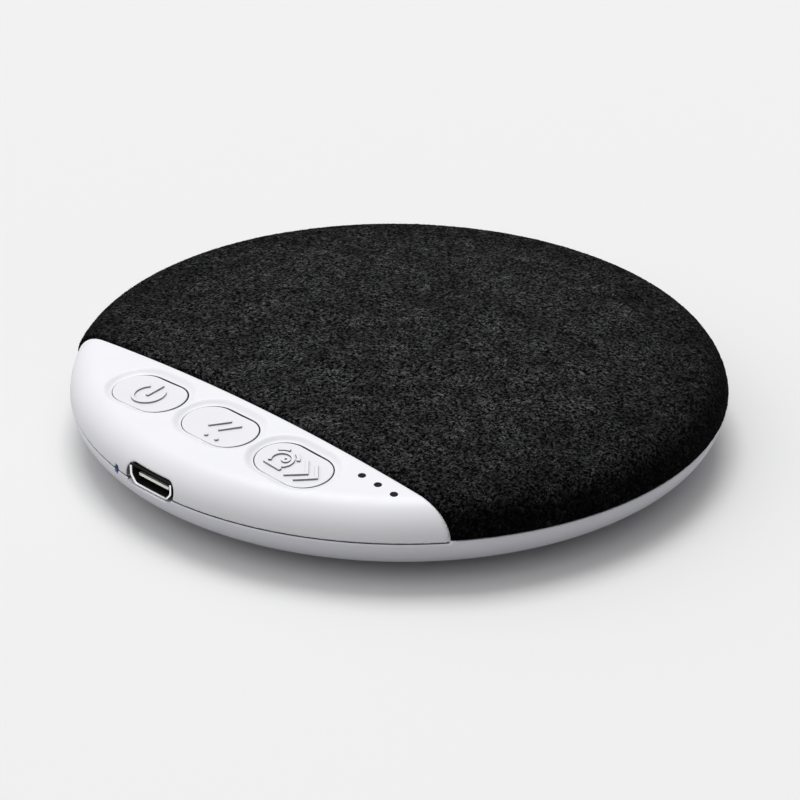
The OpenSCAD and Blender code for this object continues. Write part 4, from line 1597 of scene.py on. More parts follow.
@dataclass
class ControlPanel:
    """The white key panel: a skin of the roof with rounded edges and a soft dip round each key.

    The dips need rows of points that follow the openings, so the skin is laid out flat and
    triangulated between those rows.
    """

    body: Body
    port: Port
    key_l: float = 11.2
    key_w: float = 7.1
    key_gap: float = 0.15
    dip_w: float = 1.3
    dip_h: float = 0.54
    dip_rows: int = 8
    dip_start: float = 0.24
    dip_past: float = 0.15
    hole_round: float = 0.06
    chord_round: float = 0.38
    chord_points: int = 181
    chord_share: float = 0.98
    edge_round: float = 0.2
    edge_points: int = 220
    edge_density: float = 90
    notch_round: float = 0.2
    notch_rows: Spot = (0.5, 0.9)
    notch_low: float = 0.1
    notch_trim: float = 0.02
    window_d: float = 1.0
    window_round: float = 0.08
    window_row: float = 0.25
    window_points: int = 32
    windows: tuple[float, ...] = (22.0, 24.8, 27.6)
    window_inset: float = 2.3
    pitch: float = 0.5
    pitch_room: float = 0.15
    coarse_pitch: float = 2.0
    coarse_room: float = 1.3
    row_clear: float = 0.12
    row_share: float = 0.7
    own_share: float = 0.5
    rim_slack: float = 0.02
    keys_y: float = -38.0
    sharp: float = 40

    def key_loop(self, key: Key, t: float = 0.0) -> np.ndarray:
        """Points round a key's opening at a distance from it, seen from above."""
        grow = 2 * (self.key_gap + t)
        return slot_loop(self.key_l + grow, self.key_w + grow) + np.array(self.body.key_at(key))

    def window_loop(self, x: float, t: float = 0.0) -> np.ndarray:
        """Points round an indicator window at a distance from it, seen from above.

        Args:
            x: The window's place along the straight edge.
            t: The distance.

        Returns:
            The points in order, n by 2.
        """
        a = np.linspace(0, math.tau, self.window_points + 1)[:-1]
        r = self.window_d / 2 + t
        return np.column_stack([x + r * np.cos(a), self.window_y + r * np.sin(a)])

    @property
    def window_y(self) -> float:
        """Place of the indicator windows across the straight edge."""
        return self.body.chord_y - self.window_inset

    @property
    def notches(self) -> dict[str, Notch]:
        """The openings in the panel's lower edge, from left to right."""
        return {"light": self.port.light, "socket": self.port.socket}

    @property
    def edge_z(self) -> float:
        """Height of the panel's lower edge."""
        return self.body.seam_z + self.body.seam / 2

    @property
    def edge_s(self) -> float:
        """Distance along the roof line from the crown to the panel's lower edge."""
        return self.body.roof.length_to(self.edge_z)

    def distances(self, flat: np.ndarray) -> dict[str, np.ndarray]:
        """Distances from each edge of the panel.

        Args:
            flat: Flat places, n by 2.

        Returns:
            How far inside the panel each place is from each edge.
        """
        places = self.body.roof.place(flat)
        plan = places[:, :2]
        found = {
            "chord": self.body.chord_y - plan[:, 1],
            "edge": self.edge_s - np.hypot(flat[:, 0], flat[:, 1]),
        }
        for name, notch in self.notches.items():
            found[name] = notch.distance(places)
        length, width = self.key_l + 2 * self.key_gap, self.key_w + 2 * self.key_gap
        for key in Key:
            found[key.node] = slot_distance(plan - np.array(self.body.key_at(key)), length, width)
        for x in self.windows:
            off = np.hypot(plan[:, 0] - x, plan[:, 1] - self.window_y)
            found[f"window {x}"] = off - self.window_d / 2
        return found

    def drop(self, flat: np.ndarray) -> np.ndarray:
        """How far the panel's face lies under the roof line.

        Args:
            flat: Flat places, n by 2.

        Returns:
            The drop at each place.
        """
        far = self.distances(flat)
        total = round_drop(far["chord"], self.chord_round)
        total += round_drop(far["edge"], self.edge_round)
        for name in self.notches:
            total += round_drop(far[name], self.notch_round)
        for key in Key:
            t = np.clip(far[key.node] / self.dip_w, 0, 1)
            total += self.dip_h * (0.5 + 0.5 * np.cos(math.pi * t))
            total += round_drop(far[key.node], self.hole_round)
        for x in self.windows:
            total += round_drop(far[f"window {x}"], self.window_round)
        return total

    def outline(self) -> tuple[np.ndarray, list[Rim]]:
        """Lay out the panel's outline.

        Returns:
            Its points in flat places, and the edge that each belongs to.
        """
        body, roof, edge_z = self.body, self.body.roof, self.edge_z
        edge_r = roof.roll_r + roof.corner_r * math.cos(math.asin((edge_z - roof.seam_z) / roof.corner_r))
        turn = math.acos(-body.chord_y / edge_r)
        points, rims = [], []

        def along(start: float, end: float) -> None:
            """Add points of the lower edge.

            Args:
                start: Angle from the front at which they start.
                end: Angle at which they end.
            """
            for t in np.linspace(start, end, max(2, round(abs(end - start) * self.edge_density))):
                points.append(self.edge_s * np.array([math.sin(t), -math.cos(t)]))
                rims.append(Rim.LOWER)

        last = -turn
        for notch in self.notches.values():
            half = notch.half_at(edge_z)
            along(last, math.asin((notch.x - half) / edge_r))
            upper = notch.loop()
            upper = upper[upper[:, 1] > edge_z + self.notch_trim]
            upper = upper[np.argsort(-np.arctan2(upper[:, 1] - edge_z, upper[:, 0] - notch.x))]
            points += list(roof.flat_front(upper[:, 0], upper[:, 1]))
            rims += [Rim.NOTCH] * len(upper)
            last = math.asin((notch.x + half) / edge_r)
        along(last, turn)
        half = edge_r * math.sin(turn)
        bend = np.sin(np.linspace(1, -1, self.chord_points) * math.pi / 2)[1:-1]
        chord = np.column_stack([half * bend, np.full(len(bend), body.chord_y)])
        points += list(roof.flat_at(chord))
        rims += [Rim.CHORD] * len(bend)
        return np.array(points), rims

    def rows(self) -> np.ndarray:
        """Lay points in rows along the edges, where the face bends.

        Returns:
            Their flat places, n by 2.
        """
        roof, body = self.body.roof, self.body
        found = []

        def keep(flat: np.ndarray, own: str, t: float) -> None:
            """Keep a row's points that are clear of the other edges.

            Args:
                flat: The row's flat places.
                own: The edge that it follows.
                t: Its distance from that edge.
            """
            far = self.distances(flat)
            clear = np.min([d for name, d in far.items() if name != own], axis=0)
            free = clear > max(self.row_clear, self.row_share * t)
            found.append(flat[free & (far[own] > self.own_share * t)])

        for t in edge_rows(self.chord_round):
            x = np.linspace(-ROW_HALF, ROW_HALF, ROW_POINTS)
            plan = np.column_stack([x, np.full(len(x), body.chord_y - t)])
            plan = plan[np.hypot(plan[:, 0], plan[:, 1]) < body.body_r - self.rim_slack]
            keep(roof.flat_at(plan), "chord", t)
        for t in edge_rows(self.edge_round):
            a = np.linspace(-1, 1, self.edge_points)
            keep((self.edge_s - t) * np.column_stack([np.sin(a), -np.cos(a)]), "edge", t)
        for name, notch in self.notches.items():
            for t in [*edge_rows(self.notch_round), *self.notch_rows]:
                loop = notch.loop(t)
                loop = loop[loop[:, 1] > roof.seam_z + self.notch_low]
                keep(roof.flat_front(loop[:, 0], loop[:, 1]), name, t)
        dips = np.linspace(self.dip_start, self.dip_w + self.dip_past, self.dip_rows)
        for key in Key:
            for t in [*edge_rows(self.hole_round, 3), *dips]:
                keep(roof.flat_at(self.key_loop(key, t)), key.node, t)
        for x in self.windows:
            for t in [*edge_rows(self.window_round, 3), self.window_row]:
                keep(roof.flat_at(self.window_loop(x, t)), f"window {x}", t)
        return np.vstack(found)

    def grid(self, pitch: float, gap: float) -> np.ndarray:
        """Lay points evenly over the panel.

        Args:
            pitch: How far apart they are.
            gap: How far they are from all edges.

        Returns:
            Their flat places, n by 2.
        """
        points = hex_grid(pitch)
        points = points[points[:, 1] < self.body.chord_y * self.chord_share]
        points = points[np.hypot(points[:, 0], points[:, 1]) < self.edge_s]
        return points[np.min(list(self.distances(points).values()), axis=0) > gap]

    def build(self) -> bpy.types.Object:
        """Model the panel.

        Returns:
            The piece.
        """
        body, roof, wall = self.body, self.body.roof, self.body.wall
        outline, kinds = self.outline()
        holes = [self.key_loop(key) for key in Key]
        holes += [self.window_loop(x) for x in self.windows]
        loops = [outline, *(roof.flat_at(hole) for hole in holes)]
        border = np.vstack(loops)
        rows = self.rows()
        fine = self.grid(self.pitch, self.pitch_room)
        fine = fine[away_from(fine, np.vstack([rows, *loops]), ROW_ROOM * self.pitch)]
        rims = roof.place(border, -wall)
        outer_rim = roof.place(border, -self.drop(border))
        for i, kind in enumerate(kinds):
            if kind is Rim.CHORD:
                rims[i, 1] = body.chord_y
            elif kind is Rim.NOTCH:
                rims[i] = outer_rim[i] + np.array([0, wall, 0])
            else:
                rims[i, 2] = self.edge_z
        rims[len(kinds) :] = outer_rim[len(kinds) :] - np.array([0, 0, wall])
        skin = Skin(loops, np.vstack([rows, fine]), self.grid(self.coarse_pitch, self.coarse_room))
        obj = skin.build(
            lambda flat: roof.place(flat, -self.drop(flat)), lambda flat: roof.place(flat, -wall), rims
        )
        holes_z, holes_y = roof.seam_z + roof.corner_r / 2, body.chord_y - self.chord_round

        def in_hole(place: Vector, normal: Vector) -> bool:
            """Whether a face is in the wall of a key's opening or of a window's, which gets painted shade.
            """
            return abs(normal.z) < STEEP and place.z > holes_z and self.keys_y < place.y < holes_y

        settle(obj, "key_panel", self.sharp)
        dress(obj, PANEL_WHITE)
        # Painted shade on the walls of the socket's opening
        dress_faces(obj, PORT_WALL_SHADE, self.port.on_wall)
        # Painted shade on the walls of the key openings and windows
        dress_faces(obj, GROOVE_SHADE, in_hole)
        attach(obj, "housing")
        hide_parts("control_panel")
        return obj


@dataclass
class KeyCap:
    """One key: a dished cap with raised strokes."""

    body: Body
    key: Key
    length: float = 11.2
    width: float = 7.1
    verts: int = 96
    dish: float = 0.71
    dish_r: float = 62.0
    rim_round: float = 0.12
    rim_near: float = 0.05
    skirt: float = 1.7
    skirt_drop: float = 0.3
    stroke: float = 0.45
    stroke_round: float = 0.04
    relief: float = 0.25
    root: float = 0.12
    stroke_low: float = 0.03
    stroke_steep: float = 0.8
    chevron_l: float = 2.05
    chevron_past: float = 0.5
    chevron_y: float = -0.25
    sharp: float = 40
    insets: tuple[float, ...] = (0.01, 0.025, 0.035, 0.05, 0.3, 0.5, 0.6, 0.6)

    def surface(self, x: float, y: float) -> float:
        """Height of the dish.

        Args:
            x: Where, measured from the key's middle.
            y: Where, measured from the key's middle.

        Returns:
            The height there.
        """
        at = self.body.key_at(self.key)
        roof = self.body.roof
        r = at.length
        top = roof.place(roof.flat_at(np.array([[at.x, at.y]])))[0][2]
        slope = Vector(at) / math.sqrt(roof.dome_r**2 - r * r)
        return top - slope.x * x - slope.y * y - self.dish + (x * x + y * y) / (2 * self.dish_r)

    def outside(self, place: Vector) -> float:
        """Distance of a place outside the key's outline, seen from above."""
        at = place.xy - self.body.key_at(self.key)
        return float(slot_distance(np.array([at]), self.length, self.width)[0])

    def above(self, place: Vector) -> float:
        """Height of a place over the dish."""
        at = place.xy - self.body.key_at(self.key)
        return place.z - self.surface(at.x, at.y)

    def shaded(self, place: Vector, normal: Vector) -> bool:
        """Whether a face is in the key's skirt or in the wall of a stroke, which get painted shade.

        Args:
            place: Its middle in millimetres.
            normal: Its normal.

        Returns:
            Whether it is.
        """
        if self.outside(place) > -self.rim_near:
            return abs(normal.z) < STEEP
        return abs(normal.z) < self.stroke_steep and self.above(place) > self.stroke_low

    def cap(self) -> bpy.types.Object:
        """Model the cap without its strokes, in the key's own plan.

        Returns:
            The cap.
        """
        obj = slot_plate(self.length, self.width, self.verts)
        with editing(obj, Mode.FACES, every=True):
            for step in self.insets:
                bpy.ops.mesh.inset(thickness=step, depth=0)
            bpy.ops.mesh.quads_convert_to_tris()
            select(Mode.EDGES)
            bpy.ops.mesh.select_all(action="DESELECT")
            bpy.ops.mesh.select_non_manifold()
            bpy.ops.mesh.extrude_region_move(TRANSFORM_OT_translate={"value": (0, 0, -self.skirt)})
            bpy.ops.mesh.edge_face_add()
        points = np.array([v.co for v in obj.data.vertices])
        inside = -slot_distance(points[:, :2], self.length, self.width)
        drops = round_drop(np.maximum(inside, 0), self.rim_round)
        for vert, fall in zip(obj.data.vertices, drops):
            lift = self.surface(vert.co.x, vert.co.y)
            vert.co.z += lift - (fall if vert.co.z > -self.skirt / 2 else self.skirt_drop)
        return obj

    def bar(self, start: Spot, end: Spot) -> bpy.types.Object:
        """Make a flat straight stroke.

        Args:
            start: Middle of one end.
            end: Middle of the other.

        Returns:
            The flat stroke.
        """
        way, middle = Vector(end) - Vector(start), (Vector(start) + Vector(end)) / 2
        obj = started(bpy.ops.mesh.primitive_plane_add, size=1)
        with editing(obj, every=True):
            bpy.ops.transform.resize(value=(way.length, self.stroke, 1))
        turn = Matrix.Rotation(math.atan2(way.y, way.x), 4, "Z")
        return placed(obj, turn, Matrix.Translation((middle.x, middle.y, 0)))

    def ring(self, r: float, at: Spot, span: Spot = (0, 360), verts: int = 120) -> bpy.types.Object:
        """Make a flat round stroke.

        Args:
            r: Radius of its middle line.
            at: Its middle.
            span: Angles from +X between which it runs, in degrees.
            verts: Points round the full ring.

        Returns:
            The flat stroke.
        """
        start, end = span
        inner, outer = r - self.stroke / 2, r + self.stroke / 2
        grow = (outer / inner, outer / inner, 1)
        add = bpy.ops.mesh.primitive_circle_add
        obj = started(add, vertices=verts, radius=inner, fill_type="NOTHING")
        with editing(obj, Mode.EDGES, every=True):
            bpy.ops.mesh.extrude_edges_move()
            bpy.ops.transform.resize(value=grow, center_override=(0, 0, 0))
            select(Mode.FACES)
            pick_faces(obj, lambda p, n: (math.degrees(math.atan2(p.y, p.x)) - start) % 360 > end - start)
            bpy.ops.mesh.delete(type="FACE")
        return placed(obj, Matrix.Translation((*at, 0)))

    def dot(self, r: float, at: Spot) -> bpy.types.Object:
        """Make a flat round dot."""
        obj = started(bpy.ops.mesh.primitive_circle_add, vertices=24, radius=r, fill_type="NGON")
        return placed(obj, Matrix.Translation((*at, 0)))

    def chevron(self, x: float) -> list[bpy.types.Object]:
        """Make two strokes that meet in a tip, each cut at the middle line.

        Args:
            x: Place of the tip.

        Returns:
            The two flat strokes.
        """
        arms = []
        y, reach, past = self.chevron_y, self.chevron_l, self.chevron_past
        for side in (-1, 1):
            arm = self.bar((x - reach, y + reach * side), (x + past, y - past * side))
            cut = {"plane_co": (0, y, 0), "plane_no": (0, side, 0), "threshold": CUT_SLACK}
            with editing(arm, every=True):
                bpy.ops.mesh.bisect(clear_inner=True, **cut)
            arms.append(arm)
        return arms

    def sign(self) -> list[bpy.types.Object]:
        """Draw this key's sign: a broken ring with a bar, two bars with dots, or a bell with chevrons.

        Returns:
            Its flat strokes.
        """
        if self.key is Key.POWER:
            return [self.ring(2.1, (0, -0.2), (132, 408)), self.bar((0, -0.55), (0, 2.35))]
        if self.key is Key.NOISE:
            bars = [self.bar((m - 0.9, -0.67), (m + 0.9, 1.77)) for m in (-0.64, 1.24)]
            return bars + [self.dot(0.28, (x, -2.43)) for x in (0.01, 1.93)]
        bell, echo_r = (-2, -0.2), 2.15
        arcs = [self.ring(1.475, bell, (-45, 225))]
        arcs += [self.ring(echo_r, bell, span) for span in ((32, 76), (104, 148))]
        clapper = self.ring(0.4, (-1.6, 0.15))
        base = self.bar((-3.4, -1.85), (-0.5, -1.85))
        return [*arcs, clapper, base, *self.chevron(2.6), *self.chevron(4.3)]

    def strokes(self) -> bpy.types.Object:
        """Model the raised sign, standing on the dish.

        Returns:
            The sign.
        """
        obj = joined(self.sign())
        face_outward(obj)
        with_modifier(obj, "SOLIDIFY", thickness=self.relief + self.root, offset=0)
        face_outward(obj)
        soften(obj, self.stroke_round, 2, 60)
        for vert in obj.data.vertices:
            vert.co.z += self.surface(vert.co.x, vert.co.y) + (self.relief - self.root) / 2
        return obj

    def build(self) -> bpy.types.Object:
        """Model the key and set it in its opening.

        Returns:
            The piece.
        """
        obj = joined([self.cap(), self.strokes()])
        placed(obj, Matrix.Translation((*self.body.key_at(self.key), 0)))
        face_outward(obj, None)
        settle(obj, self.key.node.replace("button", "key"), self.sharp)
        dress(obj, KEY_WHITE_SHADED)
        # Painted shade on the key's skirt and on the walls of its strokes
        dress_faces(obj, STROKE_SHADE, self.shaded)
        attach(obj, self.key.node)
        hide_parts(self.key.node)
        return obj


@dataclass
class FeltCover:
    """The felt top: a stretched sheet with a soft matted face, and the loose fibres of its nap."""

    body: Body
    thickness: float = 0.8
    hem_z: float = 0.4
    hem_points: int = 700
    hem_row_points: int = 800
    flap_h: float = 1.8
    hem_w: float = 1.4
    chord_round: float = 0.55
    chord_points: int = 190
    hem_round: float = 0.45
    round_rows: int = 4
    pitch: float = 0.36
    pitch_room: float = 0.2
    border_w: float = 1.2
    coarse_pitch: float = 2.2
    coarse_room: float = 1.9
    chord_slack: float = 0.03
    clump_mm: tuple[float, ...] = (0.55, 1.5)
    clump_h: tuple[float, ...] = (0.07, 0.05)
    panel_share: float = 0.155
    nap_pieces: int = 3
    nap_count: int = 40000
    nap_seed: int = 20
    fibre_l: Spot = (0.2, 0.5)
    fibre_r: Spot = (0.014, 0.03)
    fibre_root: float = 0.04
    fibre_tone: Spot = (0.45, 4.0)
    chord_room: float = 0.35
    hem_room: float = 0.25
    tip_room: float = 0.05
    comb: float = 1.6
    lift_mean: float = 7
    lift_least: float = 2
    lift_most: float = 45
    sharp: float = 60
    nap_sharp: float = 180

    @property
    def edge_s(self) -> float:
        """Distance along the roof line from the crown to the hem."""
        return self.body.roof.length_to(self.body.seam_z + self.hem_z, self.body.fabric_proud)

    def outline(self) -> tuple[np.ndarray, int]:
        """Lay out the felt's outline.

        Returns:
            Its points in flat places, and how many of them are on the hem.
        """
        body = self.body
        grown = body.body_r + body.fabric_proud
        turn = math.acos(-body.felt_y / grown)
        a = np.linspace(turn, math.tau - turn, self.hem_points)
        hem = self.edge_s * np.column_stack([np.sin(a), -np.cos(a)])
        end = hem[-1][0]
        x = np.linspace(end, -end, self.chord_points)[1:-1]
        plan = np.column_stack([x, np.full(len(x), body.felt_y)])
        return np.vstack([hem, body.roof.flat_at(plan)]), len(hem)

    def face(self, flat: np.ndarray) -> np.ndarray:
        """The felt's outer face, with its rounded edges and its matted relief.

        Args:
            flat: Flat places, n by 2.

        Returns:
            Places in millimetres, n by 3.
        """
        body, roof = self.body, self.body.roof
        plan = roof.place(flat)
        drop = round_drop(np.maximum(plan[:, 1] - body.felt_y, 0), self.chord_round)
        drop += round_drop(np.maximum(self.edge_s - np.hypot(flat[:, 0], flat[:, 1]), 0), self.hem_round)
        relief = np.zeros(len(flat))
        for size, height in zip(self.clump_mm, self.clump_h):
            relief += height * np.array([noise.noise(Vector(p) / size) for p in plan.tolist()])
        return roof.place(flat, body.fabric_proud - drop + relief)

    def grid(self, pitch: float, gap: float) -> np.ndarray:
        """Lay points evenly over the felt.

        Args:
            pitch: How far apart they are.
            gap: How far they are from its edges.

        Returns:
            Their flat places, n by 2.
        """
        points = hex_grid(pitch)
        inside = self.edge_s - np.hypot(points[:, 0], points[:, 1])
        far = np.minimum(self.body.roof.place(points)[:, 1] - self.body.felt_y, inside)
        return points[far > gap]

    def rows(self) -> np.ndarray:
        """Lay points in rows along the two edges, where the face bends.

        Returns:
            Their flat places, n by 2.
        """
        felt_y, roof = self.body.felt_y, self.body.roof
        found = []
        for t in edge_rows(self.chord_round, self.round_rows):
            x = np.linspace(-ROW_HALF, ROW_HALF, ROW_POINTS)
            found.append(roof.flat_at(np.column_stack([x, np.full(len(x), felt_y + t)])))
        for t in edge_rows(self.hem_round, self.round_rows):
            a = np.linspace(0, math.tau, self.hem_row_points)[:-1]
            found.append((self.edge_s - t) * np.column_stack([np.sin(a), np.cos(a)]))
        rows = np.vstack(found)
        s = np.hypot(rows[:, 0], rows[:, 1])
        inside = roof.place(rows)[:, 1] > felt_y + self.chord_slack
        return rows[inside & (s < self.edge_s - NEAR)]

    def sheet(self) -> bpy.types.Object:
        """Model the sheet.

        Returns:
            The piece.
        """
        body, roof = self.body, self.body.roof
        outline, hem = self.outline()
        rows = self.rows()
        fine = self.grid(self.pitch, self.pitch_room)
        near = np.hypot(fine[:, 0], fine[:, 1]) > self.edge_s - self.border_w
        near |= roof.place(fine)[:, 1] < body.felt_y + self.border_w
        border = fine[near]
        border = border[away_from(border, np.vstack([rows, outline]), ROW_ROOM * self.pitch)]
        rims = self.face(outline)
        inward = 1 - self.hem_w / np.hypot(rims[:hem, 0], rims[:hem, 1])
        rims[:hem, :2] *= inward[:, None]
        rims[:hem, 1] = np.maximum(rims[:hem, 1], body.felt_y)
        rims[hem:, 2] = np.maximum(rims[hem:, 2] - self.flap_h + self.chord_round, body.seam_z + self.hem_z)
        coarse = self.grid(self.coarse_pitch, self.coarse_room)
        skin = Skin([outline], np.vstack([rows, border, fine[~near]]), coarse)
        under = body.fabric_proud - self.thickness
        obj = skin.build(self.face, lambda flat: roof.place(flat, under), rims)
        settle(obj, "felt_cover", self.sharp)
        dress(obj, FELT)
        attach(obj, "housing")
        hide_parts("fabric_cover")
        return obj

    def fibres(self, index: int) -> bpy.types.Object:
        """Model one lot of loose fibres, each a long thin spike that lies on the felt.

        Args:
            index: Which lot, which also seeds it.

        Returns:
            The piece.
        """
        body, roof = self.body, self.body.roof
        draw = np.random.default_rng(self.nap_seed + index)
        count = 2 * self.nap_count
        s, a = self.edge_s * np.sqrt(draw.random(count)), math.tau * draw.random(count)
        flat = np.column_stack([s * np.cos(a), s * np.sin(a)])
        root = roof.place(flat, body.fabric_proud - self.fibre_root)
        keep = draw.random(count) < np.hypot(root[:, 0], root[:, 1]) / np.maximum(s, TINY)
        keep &= (root[:, 1] > body.felt_y + self.chord_room) & (s < self.edge_s - self.hem_room)
        flat, root = flat[keep], root[keep]
        up = roof.place(flat, body.fabric_proud + 1) - root
        up /= np.linalg.norm(up, axis=1)[:, None]
        lie = draw.normal(size=root.shape)
        steep = 1 - up[:, 2]
        lie[:, 2] *= 1 + self.comb * steep
        lie -= (lie * up).sum(1)[:, None] * up
        lie /= np.linalg.norm(lie, axis=1)[:, None]
        lift = draw.exponential(self.lift_mean, len(root)) + self.lift_least
        lift = np.radians(np.minimum(lift, self.lift_most))
        way = lie * np.cos(lift)[:, None] + up * np.sin(lift)[:, None]
        tip = root + way * draw.uniform(*self.fibre_l, len(root))[:, None]
        lowest = body.seam_z + self.hem_z + self.tip_room
        fits = (tip[:, 1] > body.felt_y + self.tip_room) & (tip[:, 2] > lowest)
        root, tip, way, up = (part[fits][: self.nap_count] for part in (root, tip, way, up))
        across = np.cross(way, up)
        across /= np.linalg.norm(across, axis=1)[:, None]
        over = np.cross(across, way)
        thick = draw.uniform(*self.fibre_r, len(root))[:, None]
        base = [
            root + thick * (math.cos(t) * across + math.sin(t) * over)
            for t in (math.pi / 2, math.pi * 7 / 6, math.pi * 11 / 6)
        ]
        points = np.stack([*base, tip], axis=1).reshape(-1, 3)
        first = 4 * np.arange(len(root))[:, None]
        sides = np.array([[0, 1, 2], [0, 3, 1], [1, 3, 2], [2, 3, 0]])
        obj = from_points(points, (first[:, :, None] + sides).reshape(-1, 3))
        tone = np.clip(draw.beta(*self.fibre_tone, len(root)), 0, 1)
        tone = np.repeat(tone, 4).astype(np.float32)
        obj.data.attributes.new("tone", "FLOAT", "POINT").data.foreach_set("value", tone)
        self.lay_map(obj, len(root))
        face_outward(obj, 0.0)
        settle(obj, f"felt_nap_{index + 1}", self.nap_sharp)
        dress(obj, NAP)
        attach(obj, "housing")
        return obj

    def lay_map(self, obj: bpy.types.Object, count: int) -> None:
        """Unfold each fibre into a cell of its own, as a triangle with the tip at its corners.

        Args:
            obj: The lot of fibres.
            count: How many fibres it has.
        """
        side = math.ceil(math.sqrt(count))
        cell = np.arange(count)
        low = np.column_stack([cell % side, cell // side])[:, None, None] / side
        mids = [(0.5, 0.1), (0.3, 0.5), (0.7, 0.5)]
        tips = [(0.1, 0.1), (0.5, 0.9), (0.9, 0.1)]
        net = [
            mids,
            [mids[0], tips[0], mids[1]],
            [mids[1], tips[1], mids[2]],
            [mids[2], tips[2], mids[0]],
        ]
        layer = obj.data.uv_layers.new(name="OFBake")
        places = (low + np.array(net)[None] / side).astype(np.float32)
        layer.data.foreach_set("uv", places.ravel())

    def build(self) -> list[bpy.types.Object]:
        """Returns:
            The sheet, then the lots of fibres.
        """
        sheet = self.sheet()
        nap = [self.fibres(k) for k in range(self.nap_pieces)]
        grown = self.edge_s + self.hem_w
        return [sheet, *nap]


@dataclass
class Windows:
    """The three indicator windows."""

    body: Body
    panel: ControlPanel
    drop: float = 0.08
    depth: float = 3.0
    fit: float = 0.05
    verts: int = 32
    domes: tuple[Spot, ...] = ((0.12, 0.03), (0.15, 0.015))

    def build(self) -> bpy.types.Object:
        """Model one window lens with a domed end, and copy it to each place.

        Returns:
            The piece.
        """
        words = {"radius": self.panel.window_d / 2 - self.fit, "depth": self.depth, "vertices": self.verts}
        add = bpy.ops.mesh.primitive_cylinder_add
        lens = started(add, location=(0, 0, -self.depth / 2), **words)
        with editing(lens, Mode.FACES):
            pick_faces(lens, lambda p, n: n.z > FACING)
            for inset, rise in self.domes:
                bpy.ops.mesh.inset(thickness=inset, depth=rise)
        roof = self.body.roof
        plan = np.array([(x, self.panel.window_y) for x in self.panel.windows])
        places = [Vector(p) - Vector((0, 0, self.drop)) for p in roof.place(roof.flat_at(plan))]
        obj = settle(spread(lens, places), "indicator_windows")
        dress(obj, SMOKED)
        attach(obj, "housing")
        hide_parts("indicator_pipes")
        return obj


@dataclass
class Feet:
    """The four rubber feet in the base."""

    shell: BottomShell
    radius: float = 4.5
    height: float = 1.25
    soft: float = 0.3
    soft_steps: int = 4
    verts: int = 96
    dishes: tuple[Spot, ...] = ((1.1, 0), (0.3, -0.12))

    def build(self) -> bpy.types.Object:
        """Model one foot with a soft edge and a shallow dish, and copy it to each place.

        Returns:
            The piece.
        """
        words = {"radius": self.radius, "depth": self.height, "vertices": self.verts}
        add = bpy.ops.mesh.primitive_cylinder_add
        foot = started(add, location=(0, 0, self.height / 2), **words)

        def lower_rim(a: Vector, b: Vector) -> bool:
            """Whether an edge is in the foot's lower rim."""
            return max(a.z, b.z) < NEAR and min(a.xy.length, b.xy.length) > self.radius - NEAR

        with editing(foot, Mode.FACES):
            pick_faces(foot, lambda p, n: n.z < -FACING)
            for inset, rise in self.dishes:
                bpy.ops.mesh.inset(thickness=inset, depth=rise)
            select(Mode.EDGES)
            pick_edges(foot, lower_rim)
            bpy.ops.mesh.bevel(offset=self.soft, segments=self.soft_steps, affect="EDGES")
        obj = settle(spread(foot, [Vector((x, y, 0)) for x, y in self.shell.feet]), "foot_pads")
        dress(obj, RUBBER)
        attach(obj, "housing")
        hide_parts("rubber_feet")
        return obj


# Studio


